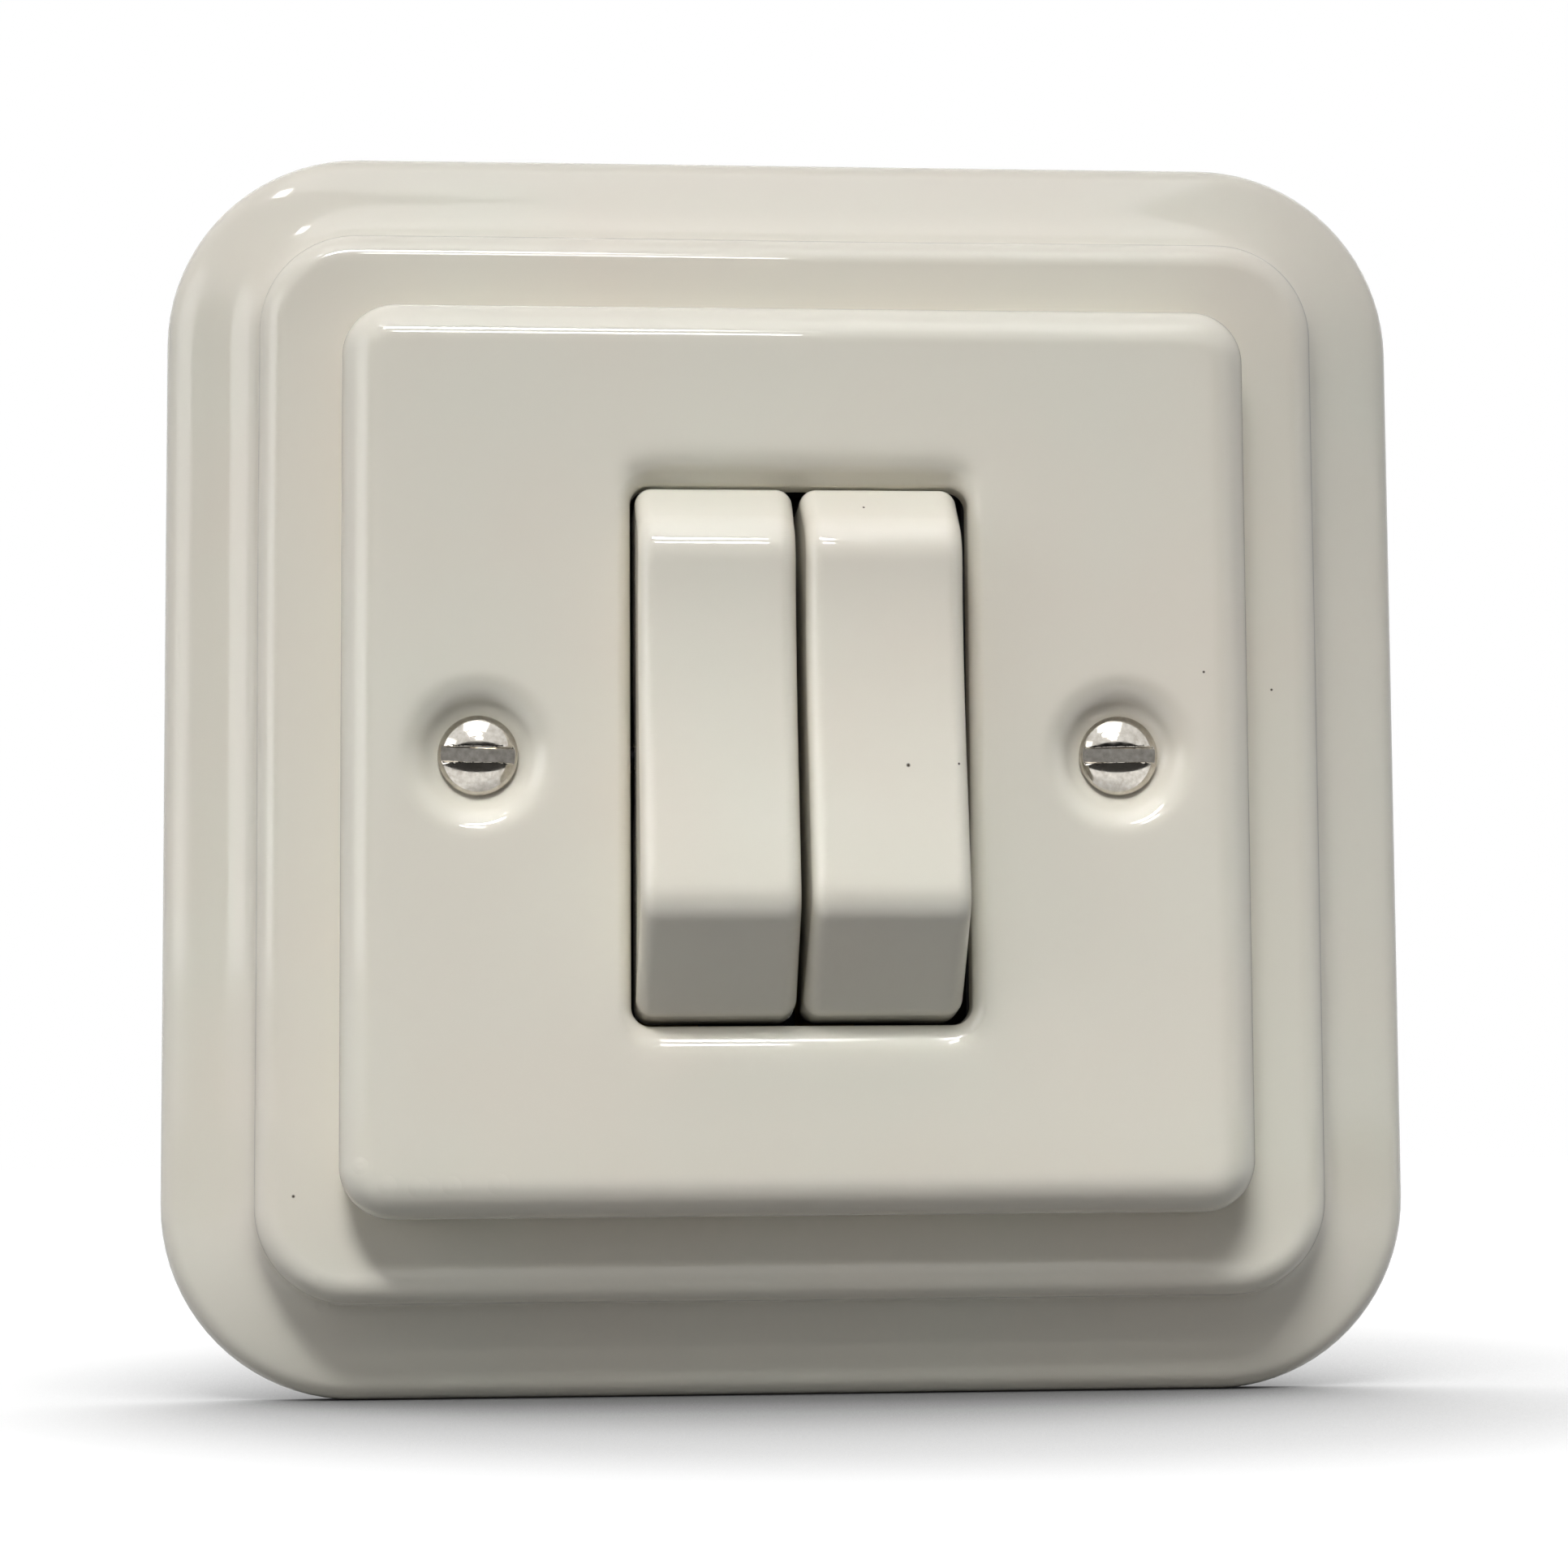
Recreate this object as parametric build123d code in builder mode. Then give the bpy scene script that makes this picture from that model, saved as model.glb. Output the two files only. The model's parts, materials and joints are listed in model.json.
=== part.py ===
from build123d import *
import os
from math import cos, radians, sin, sqrt

# Two-gang wall switch in glazed ceramic, in millimetres.
# X runs to the right, Y into the wall and Z up. The origin is the middle of the back rim.
# Heights are measured out from the wall towards the viewer, so y = -height.

# Ceramic surround: a stepped frame with a rounded rim and a coved step
surround_size = 121.6
surround_corner = 18.8
rim_height = 1.8
rim_round = 3.0
brim_width = 0.8
cove_radius = 5.8
riser_height = 0.4
step_round = 2.0
rim_land = 4.0
rim_recess = 1.0
step_wall = 4.2
ledge_wall = 4.5
cavity_round = 6.5
opening_corner = 4.0

# Ceramic faceplate that stands on the surround's ledge
plate_size = 86.0
plate_corner = 5.0
plate_thickness = 8.0
plate_edge_round = 2.8
plate_front_wall = 3.8
plate_side_wall = 5.0
plate_hollow_corner = 2.5
aperture_corner = 1.8
aperture_lip_round = 1.8

# Dished recesses and the two fixing screws
fixing_centres = 60.3
dish_radius = 7.3
dish_depth = 1.5
seat_gap = 0.2
screw_boss_radius = 5.5
screw_boss_depth = 3.2
screw_head_radius = 3.75
screw_head_rim = 0.3
screw_head_raise = 1.3
screw_slot_width = 1.25
screw_slot_depth = 1.2
screw_neck_radius = 1.5
screw_neck_gap = 0.5
screw_thread_radius = 1.75
screw_length = 39.0
screw_tip_chamfer = 0.6
screw_opening_gap = 2.3

# Rockers, at rest with the top pressed in
rest_tilt = 11.0
rocker_width = 14.95
rocker_gap = 0.6
rocker_side_gap = 0.7
rocker_reach = 24.9
rocker_end_gap = 0.4
rocker_lean = 4.0
rocker_ridge_height = 14.5
rocker_upper_ridge = 17.9
rocker_lower_ridge = 16.4
rocker_dip = 1.8
rocker_upper_end = 9.2
rocker_lower_end = 3.3
rocker_upper_round = 5.0
rocker_lower_round = 3.8
rocker_foot_round = 4.0
rocker_edge_round = 1.2
rocker_skirt = 3.0
rocker_wall = 2.4
rocker_side_wall = 2.0
rocker_ceiling = 10.2
rocker_hollow_top = 16.4
rocker_hollow_round = 2.0
pivot_behind_face = 6.3

# Pivot pin
pin_radius = 1.25
pin_running_gap = 0.05
pin_push_gap = 0.02
pin_clearance = 0.3

# Nylon carriers inside the rockers
carrier_side_gap = 0.1
carrier_plate_half = 14.0
carrier_plate_thickness = 1.6
carrier_hub_half = 5.5
carrier_hub_skirt = 3.2
carrier_hub_round = 1.0
stem_radius = 3.4
stem_reach = 11.0

# Sprung plungers in the carriers' stems
plunger_radius = 2.0
plunger_fit = 0.05
plunger_reach = 15.0
plunger_length = 8.0
plunger_bore_top = 2.5
spring_wire_radius = 0.25
spring_side_gap = 0.2
spring_end_gap = 0.05
spring_turns = 4.5

# See-saw contact levers
lever_tilt = 6.0
lever_height = -3.0
lever_half_length = 9.6
lever_width = 5.0
lever_thickness = 1.2
lever_lift = 0.3
lever_block_half = 3.6
plunger_tip_gap = 0.1
fulcrum_radius = 1.2
fulcrum_fit = 0.05
contact_radius = 1.5
contact_arm = 8.0
contact_stand = 0.8
contact_closed_gap = 0.3
fixed_contact_thickness = 0.6

# Brass terminals on the housing floor
terminal_spread = 3.8
terminal_width = 6.0
terminal_length = 8.0
terminal_height = 7.5
terminal_strip = 1.0
strip_edge_gap = 1.0
post_radius = 1.6
wire_bore_radius = 1.6
wire_bore_height = 3.2
terminal_screw_radius = 1.5
terminal_screw_fit = 0.05
terminal_screw_head_radius = 2.1
terminal_screw_head_height = 1.4
terminal_screw_stand = 0.3
terminal_screw_slot = 0.7

# Moulded mechanism housing
housing_floor_height = -10.0
housing_floor = 2.0
housing_wall = 1.8
housing_cheek = 2.0
housing_end_gap = 0.3
housing_side_gap = 0.25
housing_corner = 1.5
cheek_half = 6.0
cheek_front_gap = 0.2
divider_thickness = 1.0
divider_height = 4.2
ear_half_width = 15.5
ear_depth = 6.0
ear_thickness = 3.0
ear_corner = 2.0
ear_opening_gap = 1.0
window_inset = 0.5
wire_slot_half = 2.3

# Brass inserts and the screws that hold the housing to the faceplate
insert_spread = 10.0
insert_radius = 2.4
insert_bore_radius = 1.3
insert_length = 5.0
insert_push_gap = 0.02
insert_boss_radius = 4.0
insert_seat = 0.2
housing_screw_radius = 1.25
housing_screw_head_radius = 2.3
housing_screw_head_height = 1.6
housing_screw_length = 6.8
housing_screw_hole_gap = 0.25
housing_screw_slot = 0.7
housing_screw_slot_depth = 0.7

# Places that follow from the sizes above
brim_height = rim_height + rim_round
ledge_height = brim_height + cove_radius + riser_height + step_round
step_inset = rim_round + brim_width + cove_radius
step_size = surround_size - 2 * step_inset
plate_front = ledge_height + plate_thickness
plate_ceiling = plate_front - plate_front_wall
fixing_x = fixing_centres / 2
seat_height = plate_front - dish_depth
seat_radius = screw_head_radius + seat_gap
neck_hole_radius = screw_neck_radius + screw_neck_gap
pivot_height = plate_front - pivot_behind_face
gang_x = (rocker_width + rocker_gap) / 2
aperture_width = 2 * rocker_width + rocker_gap + 2 * rocker_side_gap
aperture_height = 2 * (rocker_reach + rocker_end_gap)
bay_half_width = aperture_width / 2 + housing_side_gap
bay_half_length = aperture_height / 2 + housing_end_gap
housing_half_width = bay_half_width + housing_cheek
housing_half_length = bay_half_length + housing_wall
housing_back = housing_floor_height - housing_floor
ear_reach = housing_half_length + ear_depth
ear_front = ledge_height + insert_seat
ear_back = ear_front - ear_thickness
insert_z = housing_half_length + ear_depth / 2
opening_half_x = fixing_x + screw_thread_radius + screw_opening_gap
opening_half_z = ear_reach + ear_opening_gap
terminal_outer_z = bay_half_length - housing_end_gap
terminal_inner_z = terminal_outer_z - terminal_length
terminal_mid_z = terminal_outer_z - terminal_length / 2
wire_height = housing_floor_height + wire_bore_height
tilt = radians(rest_tilt)
cap_tilt = radians(rest_tilt - rocker_lean)
lean = radians(lever_tilt)
closed_drop = contact_arm * sin(lean) + (contact_stand - lever_lift) * cos(lean)
fixed_contact_top = lever_height - closed_drop - contact_closed_gap
fixed_contact_z = contact_arm * cos(lean)
gangs = [("left", -gang_x), ("right", gang_x)]
tolerance = 0.01

os.makedirs("parts", exist_ok=True)


def front(height):
    # A plane parallel to the wall, drawn in x and z
    return Plane.XZ.offset(height)


def section(x):
    # A plane across the switch, drawn in z and height
    return Plane(origin=(x, 0, 0), x_dir=(0, 0, 1), z_dir=(1, 0, 0))


def rocker_section(x):
    # The same for the tilted rocker, from its pivot
    return Plane((x, -pivot_height, 0), x_dir=(0, sin(tilt), cos(tilt)), z_dir=(1, 0, 0))


def cap_section(x):
    # The same for the rocker's cap, which leans on its carrier so that the face shows less tilt
    return Plane((x, -pivot_height, 0), x_dir=(0, sin(cap_tilt), cos(cap_tilt)), z_dir=(1, 0, 0))


def rocker_face(x):
    # A plane parallel to the rocker's face, through its pivot
    return Plane((x, -pivot_height, 0), x_dir=(1, 0, 0), z_dir=(0, -cos(tilt), sin(tilt)))


def lever_section(x):
    # Across the leaning contact lever, from its fulcrum
    return Plane((x, -lever_height, 0), x_dir=(0, -sin(lean), cos(lean)), z_dir=(1, 0, 0))


def lever_face(x):
    # A plane parallel to the contact lever, through its fulcrum
    return Plane((x, -lever_height, 0), x_dir=(1, 0, 0), z_dir=(0, -cos(lean), -sin(lean)))


def edges_at(shape, height, half_x, half_z):
    # Edges that lie at one height, inside a box of the given half sizes
    chosen = ShapeList()
    for edge in shape.edges():
        middle = edge.center()
        level = abs(middle.Y + height) < tolerance
        if level and abs(middle.X) < half_x + tolerance and abs(middle.Z) < half_z + tolerance:
            chosen.append(edge)
    return chosen


def save(piece, name):
    piece.part.label = name
    export_step(piece.part, "parts/" + name + ".step")


# Ceramic surround
step_half = step_size / 2
hollow_half = step_half - step_wall
recess_half = surround_size / 2 - rim_land
with BuildPart() as surround:
    with BuildSketch(front(0)):
        RectangleRounded(surround_size, surround_size, surround_corner)
    extrude(amount=brim_height)
    fillet(surround.faces().sort_by(Axis.Y)[0].edges(), rim_round)
    with BuildSketch(front(brim_height)):
        RectangleRounded(step_size, step_size, surround_corner - step_inset)
    extrude(amount=ledge_height - brim_height)
    fillet(edges_at(surround, brim_height, step_half, step_half), cove_radius)
    fillet(surround.faces().sort_by(Axis.Y)[0].edges(), step_round)
    with BuildSketch(front(0)):
        RectangleRounded(2 * recess_half, 2 * recess_half, surround_corner - rim_land)
    extrude(amount=rim_recess, mode=Mode.SUBTRACT)
    with BuildSketch(front(0)):
        RectangleRounded(2 * hollow_half, 2 * hollow_half, surround_corner - step_inset - step_wall)
    extrude(amount=ledge_height - ledge_wall, mode=Mode.SUBTRACT)
    fillet(edges_at(surround, rim_recess, hollow_half, hollow_half), cavity_round)
    with BuildSketch(front(0)):
        RectangleRounded(2 * opening_half_x, 2 * opening_half_z, opening_corner)
    extrude(amount=ledge_height, mode=Mode.SUBTRACT)
save(surround, "surround")

# Ceramic faceplate
plate_hollow = plate_size - 2 * plate_side_wall
insert_places = GridLocations(2 * insert_spread, 2 * insert_z, 2, 2)
dish_middle = ((dish_radius + seat_radius) / 2, -(plate_front + seat_height) / 2)
with BuildPart() as faceplate:
    with BuildSketch(front(ledge_height)):
        RectangleRounded(plate_size, plate_size, plate_corner)
    extrude(amount=plate_thickness)
    fillet(faceplate.faces().sort_by(Axis.Y)[0].edges(), plate_edge_round)
    with BuildSketch(front(ledge_height)):
        RectangleRounded(plate_hollow, plate_hollow, plate_hollow_corner)
    extrude(amount=plate_thickness - plate_front_wall, mode=Mode.SUBTRACT)
    with BuildSketch(front(ear_front)):
        with insert_places:
            Circle(insert_boss_radius)
    extrude(amount=plate_ceiling - ear_front)
    with BuildSketch(front(plate_ceiling - screw_boss_depth)):
        with GridLocations(fixing_centres, 0, 2, 1):
            Circle(screw_boss_radius)
    extrude(amount=screw_boss_depth)
    with BuildSketch(front(ear_front)):
        with insert_places:
            Circle(insert_radius + insert_push_gap)
    extrude(amount=insert_length, mode=Mode.SUBTRACT)
    with BuildSketch(front(ledge_height)):
        RectangleRounded(aperture_width, aperture_height, aperture_corner)
    extrude(amount=plate_thickness, mode=Mode.SUBTRACT)
    fillet(edges_at(faceplate, plate_front, aperture_width / 2, aperture_height / 2), aperture_lip_round)
    with BuildSketch(Plane.XY) as dish:
        with BuildLine():
            rim = TangentArc((dish_radius, -plate_front), dish_middle, tangent=(-1, 0))
            TangentArc(rim @ 1, (seat_radius, -seat_height), tangent=rim % 1)
            Polyline(
                (seat_radius, -seat_height),
                (neck_hole_radius, -seat_height + seat_radius - neck_hole_radius),
                (neck_hole_radius, -ledge_height),
                (0, -ledge_height),
                (0, -plate_front - dish_depth),
                (dish_radius, -plate_front - dish_depth),
                (dish_radius, -plate_front),
            )
        make_face()
    recess = revolve(dish.sketch, Axis.Y, mode=Mode.PRIVATE)
    with GridLocations(fixing_centres, 0, 2, 1):
        add(recess, mode=Mode.SUBTRACT)
save(faceplate, "faceplate")

# Fixing screws: slotted raised heads, a reduced neck through the plate, then the thread
head_rim_top = seat_height + screw_head_rim
head_cone_end = seat_height - (screw_head_radius - screw_neck_radius)
head_top = head_rim_top + screw_head_raise
thread_start = plate_ceiling - screw_boss_depth - screw_neck_gap
screw_end = head_top - screw_length
with BuildPart() as screw:
    with BuildSketch(Plane.XY):
        with BuildLine():
            Polyline(
                (screw_head_radius, -head_rim_top),
                (screw_head_radius, -seat_height),
                (screw_neck_radius, -head_cone_end),
                (screw_neck_radius, -thread_start),
                (screw_thread_radius, -thread_start),
                (screw_thread_radius, -screw_end - screw_tip_chamfer),
                (screw_thread_radius - screw_tip_chamfer, -screw_end),
                (0, -screw_end),
                (0, -head_top),
            )
            TangentArc((0, -head_top), (screw_head_radius, -head_rim_top), tangent=(1, 0))
        make_face()
    revolve(axis=Axis.Y)
    with BuildSketch(front(head_top - screw_slot_depth)):
        Rectangle(3 * screw_head_radius, screw_slot_width)
    extrude(amount=2 * screw_slot_depth, mode=Mode.SUBTRACT)
with BuildPart() as plate_screws:
    with GridLocations(fixing_centres, 0, 2, 1):
        add(screw.part)
save(plate_screws, "plate_screws")

# Brass inserts set into the faceplate's bosses
with BuildPart() as threaded_inserts:
    with BuildSketch(front(ear_front)):
        with insert_places:
            Circle(insert_radius)
            Circle(insert_bore_radius, mode=Mode.SUBTRACT)
    extrude(amount=insert_length)
save(threaded_inserts, "threaded_inserts")

# Slotted screws through the housing's ears into the inserts
with BuildPart() as housing_screws:
    with BuildSketch(front(ear_back)):
        with insert_places:
            Circle(housing_screw_radius)
    extrude(amount=housing_screw_length)
    with BuildSketch(front(ear_back - housing_screw_head_height)):
        with insert_places:
            Circle(housing_screw_head_radius)
    extrude(amount=housing_screw_head_height)
    with BuildSketch(front(ear_back - housing_screw_head_height)):
        with insert_places:
            Rectangle(3 * housing_screw_head_radius, housing_screw_slot)
    extrude(amount=housing_screw_slot_depth, mode=Mode.SUBTRACT)
save(housing_screws, "housing_screws")

# Mechanism housing: two bays, cheeks for the pin, ears, and windows for the terminals
bay_width = bay_half_width - divider_thickness / 2
cheek_front = plate_ceiling - cheek_front_gap
window_places = []
for name, x in gangs:
    window_places.append((x - terminal_spread, terminal_mid_z))
    window_places.append((x + terminal_spread, terminal_mid_z))
    window_places.append((x - terminal_spread, -terminal_mid_z))
with BuildPart() as mechanism_housing:
    with BuildSketch(front(housing_back)):
        RectangleRounded(2 * housing_half_width, 2 * housing_half_length, housing_corner)
    extrude(amount=ear_front - housing_back)
    with BuildSketch(front(ear_back)):
        RectangleRounded(2 * ear_half_width, 2 * ear_reach, ear_corner)
    extrude(amount=ear_thickness)
    with BuildSketch(section(-housing_half_width)):
        with Locations((0, (cheek_front + ear_back) / 2)):
            Rectangle(2 * cheek_half, cheek_front - ear_back)
    extrude(amount=2 * housing_half_width)
    fillet(mechanism_housing.edges().filter_by(Axis.X).group_by(Axis.Y)[0], ear_corner)
    with BuildSketch(front(divider_height)):
        Rectangle(2 * bay_half_width, 2 * bay_half_length)
    extrude(amount=plate_front - divider_height, mode=Mode.SUBTRACT)
    with BuildSketch(front(housing_floor_height)):
        with GridLocations(bay_width + divider_thickness, 0, 2, 1):
            Rectangle(bay_width, 2 * bay_half_length)
    extrude(amount=plate_front - housing_floor_height, mode=Mode.SUBTRACT)
    with BuildSketch(section(-housing_half_width)):
        with Locations((0, pivot_height)):
            Circle(pin_radius + pin_push_gap)
    extrude(amount=2 * housing_half_width, mode=Mode.SUBTRACT)
    with BuildSketch(front(ear_back)):
        with insert_places:
            Circle(housing_screw_radius + housing_screw_hole_gap)
    extrude(amount=ear_thickness, mode=Mode.SUBTRACT)
    with BuildSketch(front(housing_back)):
        with Locations(*window_places):
            Rectangle(terminal_width - 2 * window_inset, terminal_length - 2 * window_inset)
    extrude(amount=housing_floor, mode=Mode.SUBTRACT)
    with BuildSketch(front(housing_back)):
        for x, z in window_places:
            wall_z = (bay_half_length + housing_wall / 2) * (1 if z > 0 else -1)
            with Locations((x, wall_z)):
                Rectangle(2 * wire_slot_half, housing_wall + 2 * tolerance)
    extrude(amount=wire_height + wire_slot_half - housing_back, mode=Mode.SUBTRACT)
save(mechanism_housing, "mechanism_housing")

# Steel pin that both rockers turn on
with BuildPart() as pivot_pin:
    with BuildSketch(section(-housing_half_width)):
        with Locations((0, pivot_height)):
            Circle(pin_radius)
    extrude(amount=2 * housing_half_width)
save(pivot_pin, "pivot_pin")

# Rocker outline: concave face, sloping ends, then a skirt concentric with the pivot
upper_ridge = (rocker_upper_ridge, rocker_ridge_height)
lower_ridge = (-rocker_lower_ridge, rocker_ridge_height)
face_middle = ((rocker_upper_ridge - rocker_lower_ridge) / 2, rocker_ridge_height - rocker_dip)
upper_foot = (sqrt(rocker_reach**2 - rocker_upper_end**2), rocker_upper_end)
lower_foot = (-sqrt(rocker_reach**2 - rocker_lower_end**2), rocker_lower_end)
skirt_z = sqrt(rocker_reach**2 - rocker_skirt**2)
hollow_reach = rocker_reach - rocker_wall
hollow_slope = (hollow_reach - rocker_hollow_top) / rocker_ceiling
hollow_foot = hollow_reach + 2 * rocker_skirt * hollow_slope
hollow_width = rocker_width - 2 * rocker_side_wall
carrier_width = hollow_width - 2 * carrier_side_gap
stem_bore = plunger_radius + plunger_fit
spring_radius = plunger_radius - spring_side_gap - spring_wire_radius
spring_top = plunger_bore_top + spring_end_gap + spring_wire_radius
spring_height = plunger_reach - plunger_length - spring_end_gap - spring_wire_radius - spring_top
for name, x in gangs:
    with BuildPart() as rocker:
        with BuildSketch(cap_section(x)) as outline:
            with BuildLine():
                ThreePointArc(lower_ridge, face_middle, upper_ridge)
                Line(upper_ridge, upper_foot)
                ThreePointArc(upper_foot, (rocker_reach, 0), (skirt_z, -rocker_skirt))
                Line((skirt_z, -rocker_skirt), (-skirt_z, -rocker_skirt))
                ThreePointArc((-skirt_z, -rocker_skirt), (-rocker_reach, 0), lower_foot)
                Line(lower_foot, lower_ridge)
            make_face()
            for place, size in (
                (upper_ridge, rocker_upper_round),
                (lower_ridge, rocker_lower_round),
                (upper_foot, rocker_foot_round),
                (lower_foot, rocker_foot_round),
            ):
                fillet(outline.vertices().sort_by_distance(place)[0], size)
        extrude(amount=rocker_width / 2, both=True)
        sides = rocker.faces().sort_by(Axis.X)
        rims = sides[0].edges() + sides[-1].edges()
        base = rocker.faces().filter_by(Axis.X, reverse=True).filter_by(GeomType.PLANE).edges()
        fillet([edge for edge in rims if edge not in base], rocker_edge_round)
        with BuildSketch(rocker_section(x)) as hollow:
            with BuildLine():
                Polyline(
                    (rocker_hollow_top, rocker_ceiling),
                    (hollow_foot, -2 * rocker_skirt),
                    (-hollow_foot, -2 * rocker_skirt),
                    (-rocker_hollow_top, rocker_ceiling),
                    close=True,
                )
            make_face()
            Circle(hollow_reach, mode=Mode.INTERSECT)
            fillet(hollow.vertices().group_by(Axis.Y)[-1], rocker_hollow_round)
        extrude(amount=hollow_width / 2, both=True, mode=Mode.SUBTRACT)
        with BuildSketch(rocker_section(x)):
            Circle(pin_radius + pin_clearance)
        extrude(amount=rocker_width, both=True, mode=Mode.SUBTRACT)
    save(rocker, "rocker_" + name)

    with BuildPart() as carrier:
        with BuildSketch(rocker_section(x)) as web:
            with Locations((0, rocker_ceiling - carrier_plate_thickness / 2)):
                Rectangle(2 * carrier_plate_half, carrier_plate_thickness)
            with Locations((0, (rocker_ceiling - carrier_hub_skirt) / 2)):
                Rectangle(2 * carrier_hub_half, rocker_ceiling + carrier_hub_skirt)
            fillet(web.vertices().group_by(Axis.Y)[0], carrier_hub_round)
        extrude(amount=carrier_width / 2, both=True)
        with BuildSketch(rocker_face(x)):
            Circle(stem_radius)
        extrude(amount=-stem_reach)
        with BuildSketch(rocker_face(x).offset(-plunger_bore_top)):
            Circle(stem_bore)
        extrude(amount=-stem_reach, mode=Mode.SUBTRACT)
        with BuildSketch(rocker_section(x)):
            Circle(pin_radius + pin_running_gap)
        extrude(amount=rocker_width, both=True, mode=Mode.SUBTRACT)
    save(carrier, "rocker_carrier_" + name)

    with BuildPart() as plunger:
        with BuildSketch(rocker_section(x)):
            with BuildLine():
                Polyline(
                    (0, -plunger_reach),
                    (0, plunger_length - plunger_reach),
                    (plunger_radius, plunger_length - plunger_reach),
                    (plunger_radius, plunger_radius - plunger_reach),
                )
                TangentArc(
                    (plunger_radius, plunger_radius - plunger_reach), (0, -plunger_reach), tangent=(0, -1)
                )
            make_face()
        revolve(axis=Axis((x, -pivot_height, 0), (0, -cos(tilt), sin(tilt))))
    save(plunger, "plunger_" + name)

    with BuildPart() as plunger_spring:
        with BuildLine() as coil:
            Helix(
                spring_height / spring_turns,
                spring_height,
                spring_radius,
                center=rocker_face(x).from_local_coords((0, 0, -spring_top)),
                direction=(0, cos(tilt), -sin(tilt)),
            )
        with BuildSketch(Plane(coil.line @ 0, z_dir=coil.line % 0)):
            Circle(spring_wire_radius)
        sweep()
    save(plunger_spring, "plunger_spring_" + name)

# Contact levers, with a trough that follows the plunger's tip as both swing
tip_centre = plunger_reach - plunger_radius
tip_mid = pivot_height - tip_centre - lever_height
tip_rise = pivot_height - tip_centre * cos(tilt) - lever_height
tip_end_z = tip_centre * sin(tilt) * cos(lean) - tip_rise * sin(lean)
tip_end_u = tip_centre * sin(tilt) * sin(lean) + tip_rise * cos(lean)
tip_path = (tip_end_z**2 + (tip_end_u - tip_mid) ** 2) / (2 * (tip_end_u - tip_mid))
trough_radius = tip_path + plunger_radius + plunger_tip_gap
trough_middle = tip_mid - plunger_radius - plunger_tip_gap
trough_top = tip_mid + tip_path - sqrt(trough_radius**2 - lever_block_half**2)
groove_radius = fulcrum_radius + fulcrum_fit
groove_z = sqrt(groove_radius**2 - lever_lift**2)
arm_top = lever_lift + lever_thickness
for name, x in gangs:
    with BuildPart() as contact_lever:
        with BuildSketch(lever_section(x)):
            with BuildLine():
                ThreePointArc((-groove_z, lever_lift), (0, groove_radius), (groove_z, lever_lift))
                Polyline(
                    (groove_z, lever_lift),
                    (lever_half_length, lever_lift),
                    (lever_half_length, arm_top),
                    (lever_block_half, arm_top),
                    (lever_block_half, trough_top),
                )
                ThreePointArc(
                    (lever_block_half, trough_top), (0, trough_middle), (-lever_block_half, trough_top)
                )
                Polyline(
                    (-lever_block_half, trough_top),
                    (-lever_block_half, arm_top),
                    (-lever_half_length, arm_top),
                    (-lever_half_length, lever_lift),
                    (-groove_z, lever_lift),
                )
            make_face()
        extrude(amount=lever_width / 2, both=True)
    save(contact_lever, "contact_lever_" + name)

    with BuildPart() as moving_contacts:
        with BuildSketch(lever_face(x).offset(lever_lift)):
            with Locations((0, contact_arm), (0, -contact_arm)):
                Circle(contact_radius)
        extrude(amount=-contact_stand)
    save(moving_contacts, "moving_contacts_" + name)

# Brass terminals: a clamp block with a wire bore, and the strip that leads to a contact
post_top = fixed_contact_top - fixed_contact_thickness
outer_x = terminal_spread + terminal_width / 2
bar_inner_x = post_radius + strip_edge_gap
bar_middle = ((outer_x + bar_inner_x) / 2, (terminal_inner_z - fulcrum_radius) / 2)
strip_middle = (terminal_inner_z + fixed_contact_z - post_radius) / 2
foot_middle = (post_radius - outer_x) / 2
terminal_kinds = [("common", 1, 1), ("upper", -1, 1), ("lower", -1, -1)]
for name, x in gangs:
    for kind, across, up in terminal_kinds:
        block_x = x + across * terminal_spread
        block_z = up * terminal_mid_z
        with BuildPart() as terminal:
            with BuildSketch(front(housing_floor_height)):
                with Locations((block_x, block_z)):
                    Rectangle(terminal_width, terminal_length)
            extrude(amount=terminal_height)
            with BuildSketch(Plane.XY.offset(block_z - terminal_length / 2)):
                with Locations((block_x, -wire_height)):
                    Circle(wire_bore_radius)
            extrude(amount=terminal_length, mode=Mode.SUBTRACT)
            with BuildSketch(front(housing_floor_height)):
                with Locations((block_x, block_z)):
                    Circle(terminal_screw_radius + terminal_screw_fit)
            extrude(amount=wire_bore_height, mode=Mode.SUBTRACT)
            if kind == "common":
                with BuildSketch(front(housing_floor_height)):
                    with Locations((x + bar_middle[0], bar_middle[1])):
                        Rectangle(outer_x - bar_inner_x, terminal_inner_z + fulcrum_radius)
                extrude(amount=terminal_strip)
                with BuildSketch(section(x - lever_width / 2)):
                    with Locations((0, (lever_height + housing_floor_height) / 2)):
                        Rectangle(2 * fulcrum_radius, lever_height - housing_floor_height)
                    with Locations((0, lever_height)):
                        Circle(fulcrum_radius)
                extrude(amount=outer_x + lever_width / 2)
            else:
                with BuildSketch(front(housing_floor_height)):
                    with Locations((block_x, up * strip_middle)):
                        Rectangle(terminal_width, terminal_inner_z - fixed_contact_z + post_radius)
                    with Locations((x + foot_middle, up * fixed_contact_z)):
                        Rectangle(outer_x + post_radius, 2 * post_radius)
                extrude(amount=terminal_strip)
                with BuildSketch(front(housing_floor_height)):
                    with Locations((x, up * fixed_contact_z)):
                        Circle(post_radius)
                extrude(amount=post_top - housing_floor_height)
        save(terminal, kind + "_terminal_" + name)

# Silver contacts on the terminals' posts
with BuildPart() as fixed_contacts:
    with BuildSketch(front(post_top)):
        with GridLocations(2 * gang_x, 2 * fixed_contact_z, 2, 2):
            Circle(contact_radius)
    extrude(amount=fixed_contact_thickness)
save(fixed_contacts, "fixed_contacts")

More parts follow.
